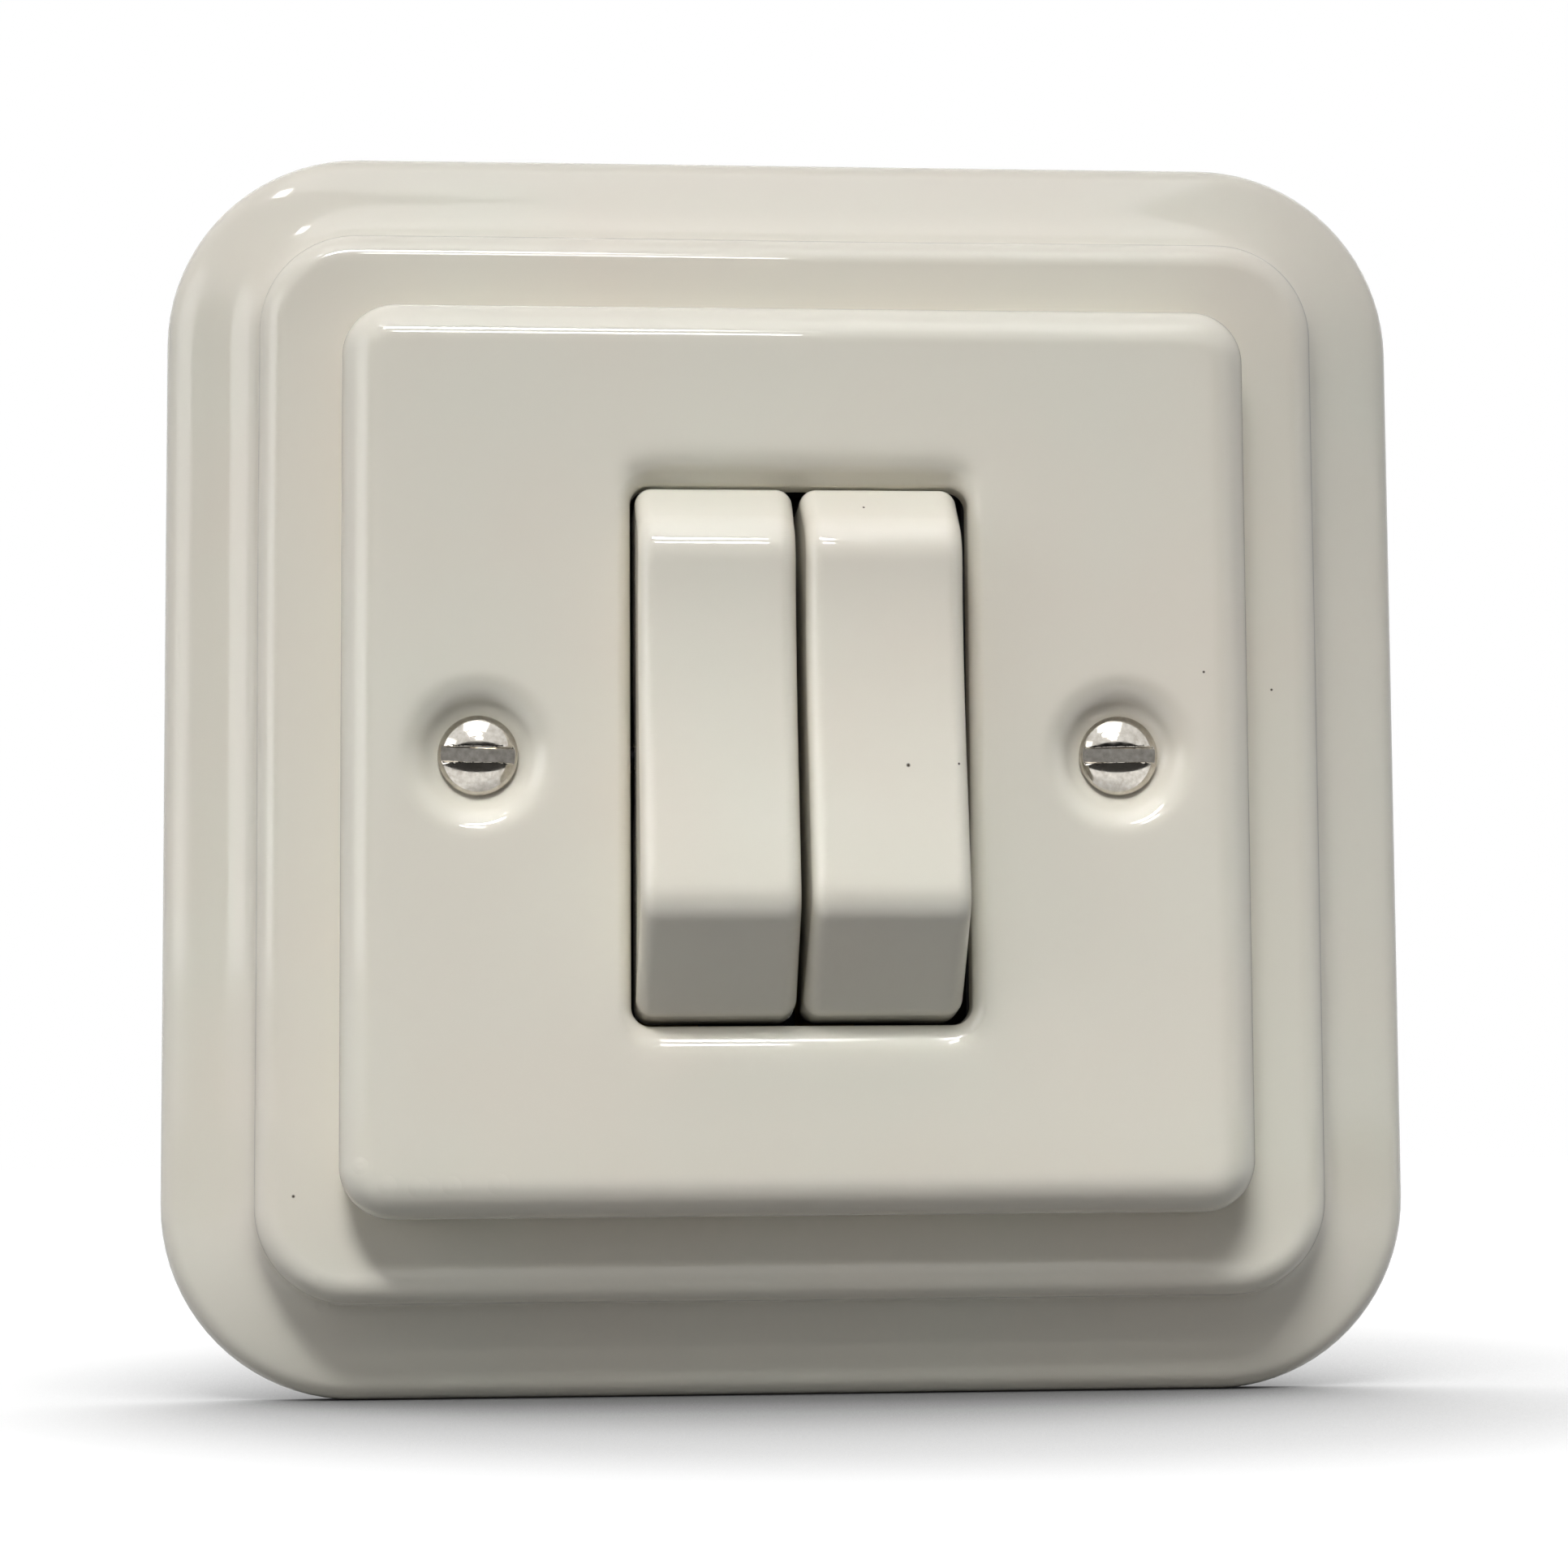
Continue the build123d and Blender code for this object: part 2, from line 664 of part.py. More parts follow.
# Slotted terminal screws, backed off to leave the wire bores clear
head_front = housing_floor_height - terminal_screw_stand
screw_reach = wire_height - wire_bore_radius - terminal_screw_fit - head_front
with BuildPart() as terminal_screws:
    with BuildSketch(front(head_front)):
        with Locations(*window_places):
            Circle(terminal_screw_radius)
    extrude(amount=screw_reach)
    with BuildSketch(front(head_front - terminal_screw_head_height)):
        with Locations(*window_places):
            Circle(terminal_screw_head_radius)
    extrude(amount=terminal_screw_head_height)
    with BuildSketch(front(head_front - terminal_screw_head_height)):
        with Locations(*window_places):
            Rectangle(3 * terminal_screw_head_radius, terminal_screw_slot)
    extrude(amount=terminal_screw_slot, mode=Mode.SUBTRACT)
save(terminal_screws, "terminal_screws")
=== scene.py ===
import json
import math

import bmesh
import bpy
import numpy as np
from mathutils import Matrix, Vector


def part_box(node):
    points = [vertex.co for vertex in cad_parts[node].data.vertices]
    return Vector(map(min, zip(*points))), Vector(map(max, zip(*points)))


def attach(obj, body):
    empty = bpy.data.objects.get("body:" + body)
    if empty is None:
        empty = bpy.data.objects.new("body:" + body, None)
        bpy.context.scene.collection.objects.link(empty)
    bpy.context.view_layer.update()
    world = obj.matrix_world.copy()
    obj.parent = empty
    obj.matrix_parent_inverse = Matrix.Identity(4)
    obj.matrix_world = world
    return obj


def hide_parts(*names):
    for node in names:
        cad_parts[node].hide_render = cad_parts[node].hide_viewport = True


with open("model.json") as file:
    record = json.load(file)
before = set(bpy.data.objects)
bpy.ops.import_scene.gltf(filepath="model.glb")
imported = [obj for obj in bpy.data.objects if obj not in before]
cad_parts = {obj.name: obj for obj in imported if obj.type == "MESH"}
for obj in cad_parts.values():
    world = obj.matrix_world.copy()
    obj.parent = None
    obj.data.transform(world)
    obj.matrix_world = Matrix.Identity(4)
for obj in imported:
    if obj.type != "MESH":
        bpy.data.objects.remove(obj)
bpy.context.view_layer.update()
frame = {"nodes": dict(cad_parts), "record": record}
mm = 0.001
mergeReach = 0.0002 * mm
boxClearance = 0.02  # in millimetres, keeps the warped rim inside the solids' box
print("frame loaded:", len(frame["nodes"]), "nodes")

# X runs to the right, Y into the wall and Z up; heights come out of the wall, so y = -height
plateFront = -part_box("faceplate")[0].y / mm
ledgeFront = -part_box("surround")[0].y / mm
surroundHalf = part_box("surround")[1].x / mm - boxClearance
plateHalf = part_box("faceplate")[1].x / mm


def linear(hexColour, alpha=1.0):
    # sRGB hex to the linear values that shaders take
    levels = [int(hexColour[i:i + 2], 16) / 255 for i in (0, 2, 4)]
    return [v / 12.92 if v <= 0.04045 else ((v + 0.055) / 1.055) ** 2.4 for v in levels] + [alpha]


def addNode(tree, kind, inputs=None, **settings):
    node = tree.nodes.new(kind)
    for name, value in settings.items():
        setattr(node, name, value)
    for key, value in (inputs or {}).items():
        if isinstance(value, bpy.types.NodeSocket):
            tree.links.new(value, node.inputs[key])
        else:
            node.inputs[key].default_value = value
    return node


def newFinish(name, **sockets):
    # A material with one principled shader, its uniform values set on the shader itself
    finish = bpy.data.materials.new(name)
    finish.use_nodes = True
    tree = finish.node_tree
    tree.nodes.clear()
    shader = addNode(tree, "ShaderNodeBsdfPrincipled", sockets)
    addNode(tree, "ShaderNodeOutputMaterial", {"Surface": shader.outputs["BSDF"]})
    place = addNode(tree, "ShaderNodeTexCoord").outputs["Object"]
    return finish, tree, shader, place


def relief(tree, shader, layers):
    # Stacks bumps, each a height value and its depth in millimetres
    normal = None
    for height, depthMm in layers:
        inputs = {"Height": height, "Distance": depthMm * mm, "Strength": 1.0}
        if normal:
            inputs["Normal"] = normal
        normal = addNode(tree, "ShaderNodeBump", inputs).outputs["Normal"]
    tree.links.new(normal, shader.inputs["Normal"])


# The middle part of a noise's range, which is what shows
noiseRange = {"From Min": 0.3, "From Max": 0.7}

# Glazed porcelain: fired clay under a clear glaze, hard gloss with a faint orange peel,
# slow warm and cool drifts in the colour, and a few dark kiln specks
glazeLook = dict(
    pale="DDDACD", warm="DED7CA", speckColour="4A4238",
    driftMm=26, driftDetail=2, peelMm=1.6, peelDetail=1, peelDepth=0.0012,
    swellMm=11, swellDetail=0, swellDepth=0.012,
    beadDepth=0.03, spotCore=0.4, roughness=0.035, ior=1.52,
)


def spots(tree, place, marks):
    # One where a round mark is, nothing elsewhere; marks are (x, z, radius) in millimetres, from the front
    front = addNode(tree, "ShaderNodeVectorMath", {0: place, 1: (1, 0, 1)}, operation="MULTIPLY")
    found = 0.0
    for x, z, radius in marks:
        away = addNode(tree, "ShaderNodeVectorMath", {0: front.outputs["Vector"], 1: (x * mm, 0, z * mm)},
                       operation="DISTANCE")
        mark = addNode(tree, "ShaderNodeMapRange", {
            "Value": away.outputs["Value"], "To Min": 1.0, "To Max": 0.0,
            "From Min": glazeLook["spotCore"] * radius * mm, "From Max": radius * mm,
        })
        found = addNode(tree, "ShaderNodeMath", {0: found, 1: mark.outputs["Result"]},
                        operation="MAXIMUM").outputs[0]
    return found


def glazedPorcelain(name, specks, beads):
    look = glazeLook
    finish, tree, shader, place = newFinish(name, **{"IOR": look["ior"], "Roughness": look["roughness"]})
    noise = {}
    for layer in ("drift", "swell", "peel"):
        noise[layer] = addNode(tree, "ShaderNodeTexNoise", {
            "Vector": place, "Scale": 1 / (look[layer + "Mm"] * mm), "Detail": look[layer + "Detail"],
        }).outputs["Fac"]
    share = addNode(tree, "ShaderNodeMapRange", {"Value": noise["drift"], **noiseRange}).outputs["Result"]
    body = addNode(tree, "ShaderNodeMix", {0: share, 6: linear(look["pale"]), 7: linear(look["warm"])},
                   data_type="RGBA").outputs[2]
    colour = addNode(tree, "ShaderNodeMix", {
        0: spots(tree, place, specks), 6: body, 7: linear(look["speckColour"]),
    }, data_type="RGBA").outputs[2]
    tree.links.new(colour, shader.inputs["Base Color"])
    relief(tree, shader, [
        (noise["swell"], look["swellDepth"]),
        (noise["peel"], look["peelDepth"]),
        (spots(tree, place, beads), look["beadDepth"]),
    ])
    return finish


# Nickel plate over brass: bright and slightly yellow, with fine polishing marks
nickelLook = dict(name="nickelPlate", pair=("DAD5CC", "BDB7AD"), metal=1.0, rough=(0.05, 0.14), grainMm=0.6,
                  depth=0.0007)

# The inner pieces, by slot: colour pair, metal or not, roughness range, grain size and depth
innerLooks = {
    # Moulded phenolic: near black and dull, with a cloudy skin
    "black_phenolic": dict(name="mouldedPhenolic", pair=("0E0E10", "17171A"), metal=0.0, rough=(0.45, 0.6),
                           grainMm=1.4, depth=0.008),
    # Moulded nylon: milky, with a satin sheen
    "nylon": dict(name="mouldedNylon", pair=("DAD5C6", "CFC8B6"), metal=0.0, rough=(0.35, 0.5),
                  grainMm=2.5, depth=0.004),
    # Blackened steel: dark, with a soft shine
    "steel": dict(name="blackenedSteel", pair=("1C1C1E", "141416"), metal=1.0, rough=(0.4, 0.55),
                  grainMm=0.6, depth=0.002),
    # Drawn spring wire: grey, with a low gleam
    "spring_steel": dict(name="drawnSpringSteel", pair=("8C8A88", "716F6D"), metal=1.0, rough=(0.25, 0.4),
                         grainMm=0.4, depth=0.002),
    # Pressed brass gone brown with age
    "brass": dict(name="agedBrass", pair=("7A6238", "5E4A2A"), metal=1.0, rough=(0.3, 0.45),
                  grainMm=1.2, depth=0.003),
    # Pressed silver: pale and bright
    "silver_contact": dict(name="pressedSilver", pair=("D9D8D4", "BFBDB6"), metal=1.0, rough=(0.2, 0.35),
                           grainMm=0.7, depth=0.002),
    # Zinc plate over steel: bluish and bright
    "zinc_plate": dict(name="zincPlate", pair=("B9BCC2", "9DA1A6"), metal=1.0, rough=(0.2, 0.38),
                       grainMm=0.8, depth=0.003),
}
grainDetail = 4


def grainedFinish(look):
    # One fine noise carries the colour pair, the roughness and a shallow relief
    finish, tree, shader, place = newFinish(look["name"], Metallic=look["metal"])
    grain = addNode(tree, "ShaderNodeTexNoise", {
        "Vector": place, "Scale": 1 / (look["grainMm"] * mm), "Detail": grainDetail,
    }).outputs["Fac"]
    share = addNode(tree, "ShaderNodeMapRange", {"Value": grain, **noiseRange}).outputs["Result"]
    first, second = (linear(c) for c in look["pair"])
    colour = addNode(tree, "ShaderNodeMix", {0: share, 6: first, 7: second}, data_type="RGBA").outputs[2]
    tree.links.new(colour, shader.inputs["Base Color"])
    smooth, dull = look["rough"]
    rough = addNode(tree, "ShaderNodeMapRange", {
        "Value": grain, **noiseRange, "To Min": smooth, "To Max": dull,
    })
    tree.links.new(rough.outputs["Result"], shader.inputs["Roughness"])
    relief(tree, shader, [(grain, look["depth"])])
    return finish


def arcPoints(centre, radius, startDeg, endDeg, steps):
    # Points along an arc, both ends included
    turns = np.radians(np.linspace(startDeg, endDeg, steps + 1))
    return [(centre[0] + radius * math.cos(a), centre[1] + radius * math.sin(a)) for a in turns]


def curvePoints(first, firstWay, last, lastWay, steps):
    # A smooth run between two points that leaves and arrives along the given ways
    first, last = np.array(first), np.array(last)
    ends = [first, first + np.array(firstWay), last - np.array(lastWay), last]
    shares = np.linspace(0, 1, steps + 1)[:, None]
    weights = ((1 - shares) ** 3, 3 * shares * (1 - shares) ** 2, 3 * shares ** 2 * (1 - shares), shares ** 3)
    return [tuple(point) for point in sum(w * e for w, e in zip(weights, ends))]


def link(obj):
    bpy.context.scene.collection.objects.link(obj)
    return obj


def finishMesh(obj, sharpDeg=38):
    # Merges doubles, turns all faces outwards and smooths the mesh up to its sharp edges
    work = bmesh.new()
    work.from_mesh(obj.data)
    bmesh.ops.remove_doubles(work, verts=work.verts, dist=mergeReach)
    bmesh.ops.recalc_face_normals(work, faces=work.faces)
    work.to_mesh(obj.data)
    work.free()
    obj.data.shade_smooth()
    obj.data.set_sharp_from_angle(angle=math.radians(sharpDeg))
    return obj


def paint(obj, finish):
    # One finish on every face, also on those that a cut has left
    obj.data.materials.clear()
    obj.data.materials.append(finish)
    obj.data.polygons.foreach_set("material_index", [0] * len(obj.data.polygons))


def setInput(modifier, name, value):
    sockets = {s.name: s.identifier for s in modifier.node_group.interface.items_tree if s.in_out == "INPUT"}
    modifier[sockets[name]] = value


def bake(obj):
    # The evaluated result becomes the object's own plain mesh
    bpy.context.view_layer.update()
    evaluated = obj.evaluated_get(bpy.context.evaluated_depsgraph_get())
    plain = bpy.data.meshes.new_from_object(evaluated)
    obj.modifiers.clear()
    obj.data = plain
    return obj


def cut(obj, tool, operation):
    # Boolean with a tool mesh, which is thrown away afterwards
    modifier = obj.modifiers.new(operation.lower(), "BOOLEAN")
    modifier.operation = operation
    modifier.solver = "EXACT"
    modifier.object = tool
    bake(obj)
    bpy.data.objects.remove(tool)
    return obj


# What each ring of a moulded piece says of itself
ringSizes = ("halfX", "halfZ", "corner", "height", "freedom")


def mouldedRingsTree():
    # Rings round a rounded rectangle, each with its own half sizes, corner radius and height
    tree = bpy.data.node_groups.new("mouldedRings", "GeometryNodeTree")
    sockets = [("Rings", "Geometry"), ("Corner Steps", "Int"), ("Side Steps", "Int"), ("Warp", "Float"),
               ("Warp Size", "Float"), ("Finish", "Material")]
    for name, kind in sockets:
        tree.interface.new_socket(name, in_out="INPUT", socket_type="NodeSocket" + kind)
    tree.interface.new_socket("Moulding", in_out="OUTPUT", socket_type="NodeSocketGeometry")
    given = addNode(tree, "NodeGroupInput").outputs

    # Each vertex of a grid finds its ring, its side and its place along that side
    size = addNode(tree, "GeometryNodeAttributeDomainSize", {"Geometry": given["Rings"]})
    found = {name: given[name] for name in ("Corner Steps", "Side Steps", "Warp", "Warp Size")}
    found["index"] = addNode(tree, "GeometryNodeInputIndex").outputs[0]
    quarterTurn = math.pi / 2
    formulas = [
        ("quarter", "ADD", "Corner Steps", "Side Steps"),
        ("round", "MULTIPLY", "quarter", 4.0),
        ("around", "ADD", "round", 1.0),
        ("indexMiddle", "ADD", "index", 0.5),
        ("ringShare", "DIVIDE", "indexMiddle", "around"),
        ("ring", "FLOOR", "ringShare", 0.0),
        ("ringStart", "MULTIPLY", "ring", "around"),
        ("step", "SUBTRACT", "index", "ringStart"),
        ("stepMiddle", "ADD", "step", 0.5),
        ("sideShare", "DIVIDE", "stepMiddle", "quarter"),
        ("side", "FLOOR", "sideShare", 0.0),
        ("sideStart", "MULTIPLY", "side", "quarter"),
        ("along", "SUBTRACT", "step", "sideStart"),
        ("bend", "DIVIDE", "along", "Corner Steps"),
        ("bendShare", "MINIMUM", "bend", 1.0),
        ("bends", "ADD", "side", "bendShare"),
        ("turn", "MULTIPLY", "bends", quarterTurn),
        ("turnX", "COSINE", "turn", 0.0),
        ("turnZ", "SINE", "turn", 0.0),
        ("past", "SUBTRACT", "along", "Corner Steps"),
        ("pastCorner", "MAXIMUM", "past", 0.0),
        ("run", "DIVIDE", "pastCorner", "Side Steps"),
        ("sideTurn", "MULTIPLY", "side", quarterTurn),
        ("cornerTurn", "ADD", "sideTurn", quarterTurn / 2),
        ("cornerX", "COSINE", "cornerTurn", 0.0),
        ("cornerZ", "SINE", "cornerTurn", 0.0),
        ("nextSide", "ADD", "side", 1.0),
        ("nextSideTurn", "MULTIPLY", "nextSide", quarterTurn),
        ("nextTurn", "ADD", "nextSideTurn", quarterTurn / 2),
        ("nextX", "COSINE", "nextTurn", 0.0),
        ("nextZ", "SINE", "nextTurn", 0.0),
        ("warpScale", "DIVIDE", 1.0, "Warp Size"),
    ]
    ringFormulas = [
        ("straightX", "SUBTRACT", "halfX", "corner"),
        ("straightZ", "SUBTRACT", "halfZ", "corner"),
        ("outX", "MULTIPLY", "turnX", "corner"),
        ("outZ", "MULTIPLY", "turnZ", "corner"),
        ("outY", "MULTIPLY", "height", -1.0),
        ("amount", "MULTIPLY", "Warp", "freedom"),
    ]
    for name, operation, *terms in formulas:
        inputs = {k: found.get(term, term) for k, term in enumerate(terms)}
        found[name] = addNode(tree, "ShaderNodeMath", inputs, operation=operation).outputs[0]
    for name in ringSizes:
        value = addNode(tree, "GeometryNodeInputNamedAttribute", {"Name": name}).outputs["Attribute"]
        found[name] = addNode(tree, "GeometryNodeSampleIndex", {
            "Geometry": given["Rings"], "Value": value, "Index": found["ring"],
        }).outputs["Value"]
    for name, operation, *terms in ringFormulas:
        inputs = {k: found.get(term, term) for k, term in enumerate(terms)}
        found[name] = addNode(tree, "ShaderNodeMath", inputs, operation=operation).outputs[0]
    grid = addNode(tree, "GeometryNodeMeshGrid", {
        "Vertices X": size.outputs["Point Count"], "Vertices Y": found["around"],
    }).outputs["Mesh"]

    # A corner's quadrant as signs, blended along the straight side to those of the next corner
    quadrants = []
    diagonal = math.sqrt(2)
    for end in ("corner", "next"):
        unit = addNode(tree, "ShaderNodeCombineXYZ", {"X": found[end + "X"], "Z": found[end + "Z"]})
        signs = addNode(tree, "ShaderNodeVectorMath", {0: unit.outputs[0], 1: (diagonal, 0, diagonal)},
                        operation="MULTIPLY")
        quadrants.append(signs.outputs["Vector"])
    quadrant = addNode(tree, "ShaderNodeMix", {0: found["run"], 4: quadrants[0], 5: quadrants[1]},
                       data_type="VECTOR").outputs[1]
    straight, outward = (
        addNode(tree, "ShaderNodeCombineXYZ", {axis: found[way + axis] for axis in axes}).outputs[0]
        for way, axes in (("straight", "XZ"), ("out", "XYZ")))
    middle = addNode(tree, "ShaderNodeVectorMath", {0: quadrant, 1: straight},
                     operation="MULTIPLY").outputs[0]
    place = addNode(tree, "ShaderNodeVectorMath", {0: middle, 1: outward}, operation="ADD").outputs[0]

    # Firing warps the clay a little, more the further it stands from the wall
    lumps = addNode(tree, "ShaderNodeTexNoise", {"Vector": place, "Detail": 0.0, "Scale": found["warpScale"]})
    centred = addNode(tree, "ShaderNodeVectorMath", {0: lumps.outputs["Color"], 1: (0.5, 0.5, 0.5)},
                      operation="SUBTRACT").outputs["Vector"]
    shift = addNode(tree, "ShaderNodeVectorMath", {0: centred, "Scale": found["amount"]},
                    operation="SCALE").outputs["Vector"]
    moved = addNode(tree, "GeometryNodeSetPosition", {
        "Geometry": grid, "Position": place, "Offset": shift,
    }).outputs["Geometry"]
    closed = addNode(tree, "GeometryNodeMergeByDistance", {"Geometry": moved, "Distance": mergeReach})
    real = addNode(tree, "GeometryNodeRealizeInstances", {"Geometry": closed.outputs["Geometry"]})
    painted = addNode(tree, "GeometryNodeSetMaterial", {
        "Geometry": real.outputs["Geometry"], "Material": given["Finish"],
    })
    addNode(tree, "NodeGroupOutput", {"Moulding": painted.outputs["Geometry"]})
    return tree


def mouldedPiece(name, rings, look, finish, tree):
    # rings: (half x, half z, corner radius, height, freedom to warp), all in millimetres but the last
    mesh = bpy.data.meshes.new(name)
    mesh.from_pydata([(0, 0, 0) for ring in rings], [], [])
    for column, attribute in enumerate(ringSizes):
        unit = 1.0 if attribute == "freedom" else mm
        layer = mesh.attributes.new(attribute, "FLOAT", "POINT")
        layer.data.foreach_set("value", [ring[column] * unit for ring in rings])
    obj = link(bpy.data.objects.new(name, mesh))
    modifier = obj.modifiers.new("moulding", "NODES")
    modifier.node_group = tree
    setInput(modifier, "Corner Steps", look["cornerSteps"])
    setInput(modifier, "Side Steps", look["sideSteps"])
    setInput(modifier, "Warp", look["warpMm"] * mm)
    setInput(modifier, "Warp Size", look["warpSizeMm"] * mm)
    setInput(modifier, "Finish", finish)
    return finishMesh(bake(obj))


# Ceramic surround: rounded rim, cove, small riser, rounded step, hollow behind
surroundLook = dict(
    corner=18.8, rimHeight=1.8, rimRound=3.0, rimSlope=23.0, coveRun=4.4, coveRise=3.8,
    ledgeHalf=48.4, stepRound=2.8, riser=0.2, plateMargin=1.5, leastCorner=1.0,
    openingX=34.2, openingZ=34.4, openingCorner=4.0, ledgeWall=4.5, hollowHalf=47.0, cavityRound=6.5,
    recessDepth=1.0, rimLand=4.0, arcSteps=12, cornerSteps=20, sideSteps=24, warpMm=0.25, warpSizeMm=45,
)


def ceramicSurround(finish, tree):
    look = surroundLook
    half = surroundHalf
    stepHalf = look["ledgeHalf"] + look["stepRound"]
    riserTop = ledgeFront - look["stepRound"]
    slope = math.radians(look["rimSlope"])
    steps = look["arcSteps"]
    rimCentre = (half - look["rimRound"], look["rimHeight"])
    section = [(half, 0.0), (half, look["rimHeight"])]
    section += arcPoints(rimCentre, look["rimRound"], 0, 90 - look["rimSlope"], steps)[1:]
    coveStart = (-look["coveRun"] * math.cos(slope), look["coveRun"] * math.sin(slope))
    coveEnd = (stepHalf, riserTop - look["riser"])
    section += curvePoints(section[-1], coveStart, coveEnd, (0, look["coveRise"]), 2 * steps)[1:]
    section += arcPoints((look["ledgeHalf"], riserTop), look["stepRound"], 0, 90, steps)
    section += [(plateHalf + look["plateMargin"], ledgeFront), (plateHalf, ledgeFront)]
    rings = []
    for s, h in section:
        rings.append((s, s, max(look["corner"] - (half - s), look["leastCorner"]), h, min(h / ledgeFront, 1)))
    flangeBack = ledgeFront - look["ledgeWall"]
    for height in (ledgeFront, flangeBack):
        rings.append((look["openingX"], look["openingZ"], look["openingCorner"], height, 0))
    inside = look["hollowHalf"]
    recess = half - look["rimLand"]
    mouth = (inside + look["cavityRound"], look["recessDepth"] + look["cavityRound"])
    back = [(inside, flangeBack)] + arcPoints(mouth, look["cavityRound"], 180, 270, steps)
    back += [(recess, look["recessDepth"]), (recess, 0.0), (half, 0.0)]
    rings += [(s, s, look["corner"] - (half - s), h, 0) for s, h in back]
    piece = mouldedPiece("ceramicSurround", rings, look, finish, tree)
    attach(piece, "base")
    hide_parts("surround")


# Ceramic faceplate: rounded edges, rolled lip round the rockers, dished screw recesses, bosses behind
plateLook = dict(
    corner=5.0, edgeRound=4.1, frontWall=3.8, sideWall=5.0, hollowCorner=2.5,
    apertureX=15.95, apertureZ=25.3, apertureCorner=1.8, lipRound=1.3,
    fixingX=30.15, dishRadius=8.0, bedRadius=2.1, bedDepth=2.6, seatRadius=3.6, neckRadius=2.0,
    screwBossRadius=5.5, screwBossDepth=3.2, bossOverlap=1.0, toolOver=2.0, bossSegments=48, sharpDeg=30,
    insertX=10.0, insertZ=30.4, insertBossRadius=4.0, insertRadius=2.42, insertBack=13.2, insertLength=5.0,
    sagDepth=1.5, sagReach=5.6, sagEnd=0.2, sagBelow=0.6, sagLift=0.4,
    sagPower=4, sagSide=1.5, sagSideFade=4.0,
    faceRings=24, arcSteps=14, cornerSteps=16, sideSteps=24, warpMm=0.12, warpSizeMm=40,
)


def turnedMesh(name, profile, places, segments=96):
    # Solids of revolution about Y, one at each place; profile is (radius, height) in millimetres
    work = bmesh.new()
    for x, z in places:
        loops = []
        for radius, height in profile:
            if radius == 0:
                loops.append([work.verts.new((x * mm, -height * mm, z * mm))])
                continue
            turns = [2 * math.pi * k / segments for k in range(segments)]
            loops.append([work.verts.new(((x + radius * math.cos(a)) * mm, -height * mm,
                                          (z + radius * math.sin(a)) * mm)) for a in turns])
        for low, high in zip(loops, loops[1:]):
            for k in range(segments):
                n = (k + 1) % segments
                if len(low) == 1:
                    work.faces.new((low[0], high[k], high[n]))
                elif len(high) == 1:
                    work.faces.new((low[k], high[0], low[n]))
                else:
                    work.faces.new((low[k], high[k], high[n], low[n]))
    bmesh.ops.recalc_face_normals(work, faces=work.faces)
    mesh = bpy.data.meshes.new(name)
    work.to_mesh(mesh)
    work.free()
    return link(bpy.data.objects.new(name, mesh))


def dishProfile(look):
    # Two arcs that meet in the middle of the slope: flat at the plate, still sloping where the head sits
    width = (look["dishRadius"] - look["bedRadius"]) / 2
    depth = look["bedDepth"] / 2
    radius = (width ** 2 + depth ** 2) / (2 * depth)
    sweep = math.degrees(math.asin(width / radius))
    left = math.degrees(math.asin((look["seatRadius"] - look["bedRadius"]) / radius))
    bedTop = plateFront - look["bedDepth"]
    rim = arcPoints((look["dishRadius"], plateFront - radius), radius, 90, 90 + sweep, look["arcSteps"])
    bed = arcPoints((look["bedRadius"], bedTop + radius), radius, 270 + sweep, 270 + left, look["arcSteps"])
    return rim + bed[1:]


def sagAperture(piece, look):
    # The front sinks a little towards the opening, mostly above it, as soft clay does
    for vertex in piece.data.vertices:
        x, y, z = vertex.co / mm
        past = abs(z) - look["apertureZ"] - look["sagEnd"]
        near = min(max(1 - past / (look["sagReach"] - look["sagEnd"]), 0), 1)
        side = min(max((look["apertureX"] + look["sagSide"] - abs(x)) / look["sagSideFade"], 0), 1)
        height = min(max((-y - plateFront + look["frontWall"]) / look["frontWall"], 0), 1)
        share = math.sin(math.pi / 2 * near ** look["sagPower"]) * side ** 2 * (3 - 2 * side) * height
        vertex.co.y += look["sagDepth"] * share * (1 if z > 0 else look["sagBelow"]) * mm
        vertex.co.z += look["sagLift"] * share * (1 if z > 0 else 0) * mm


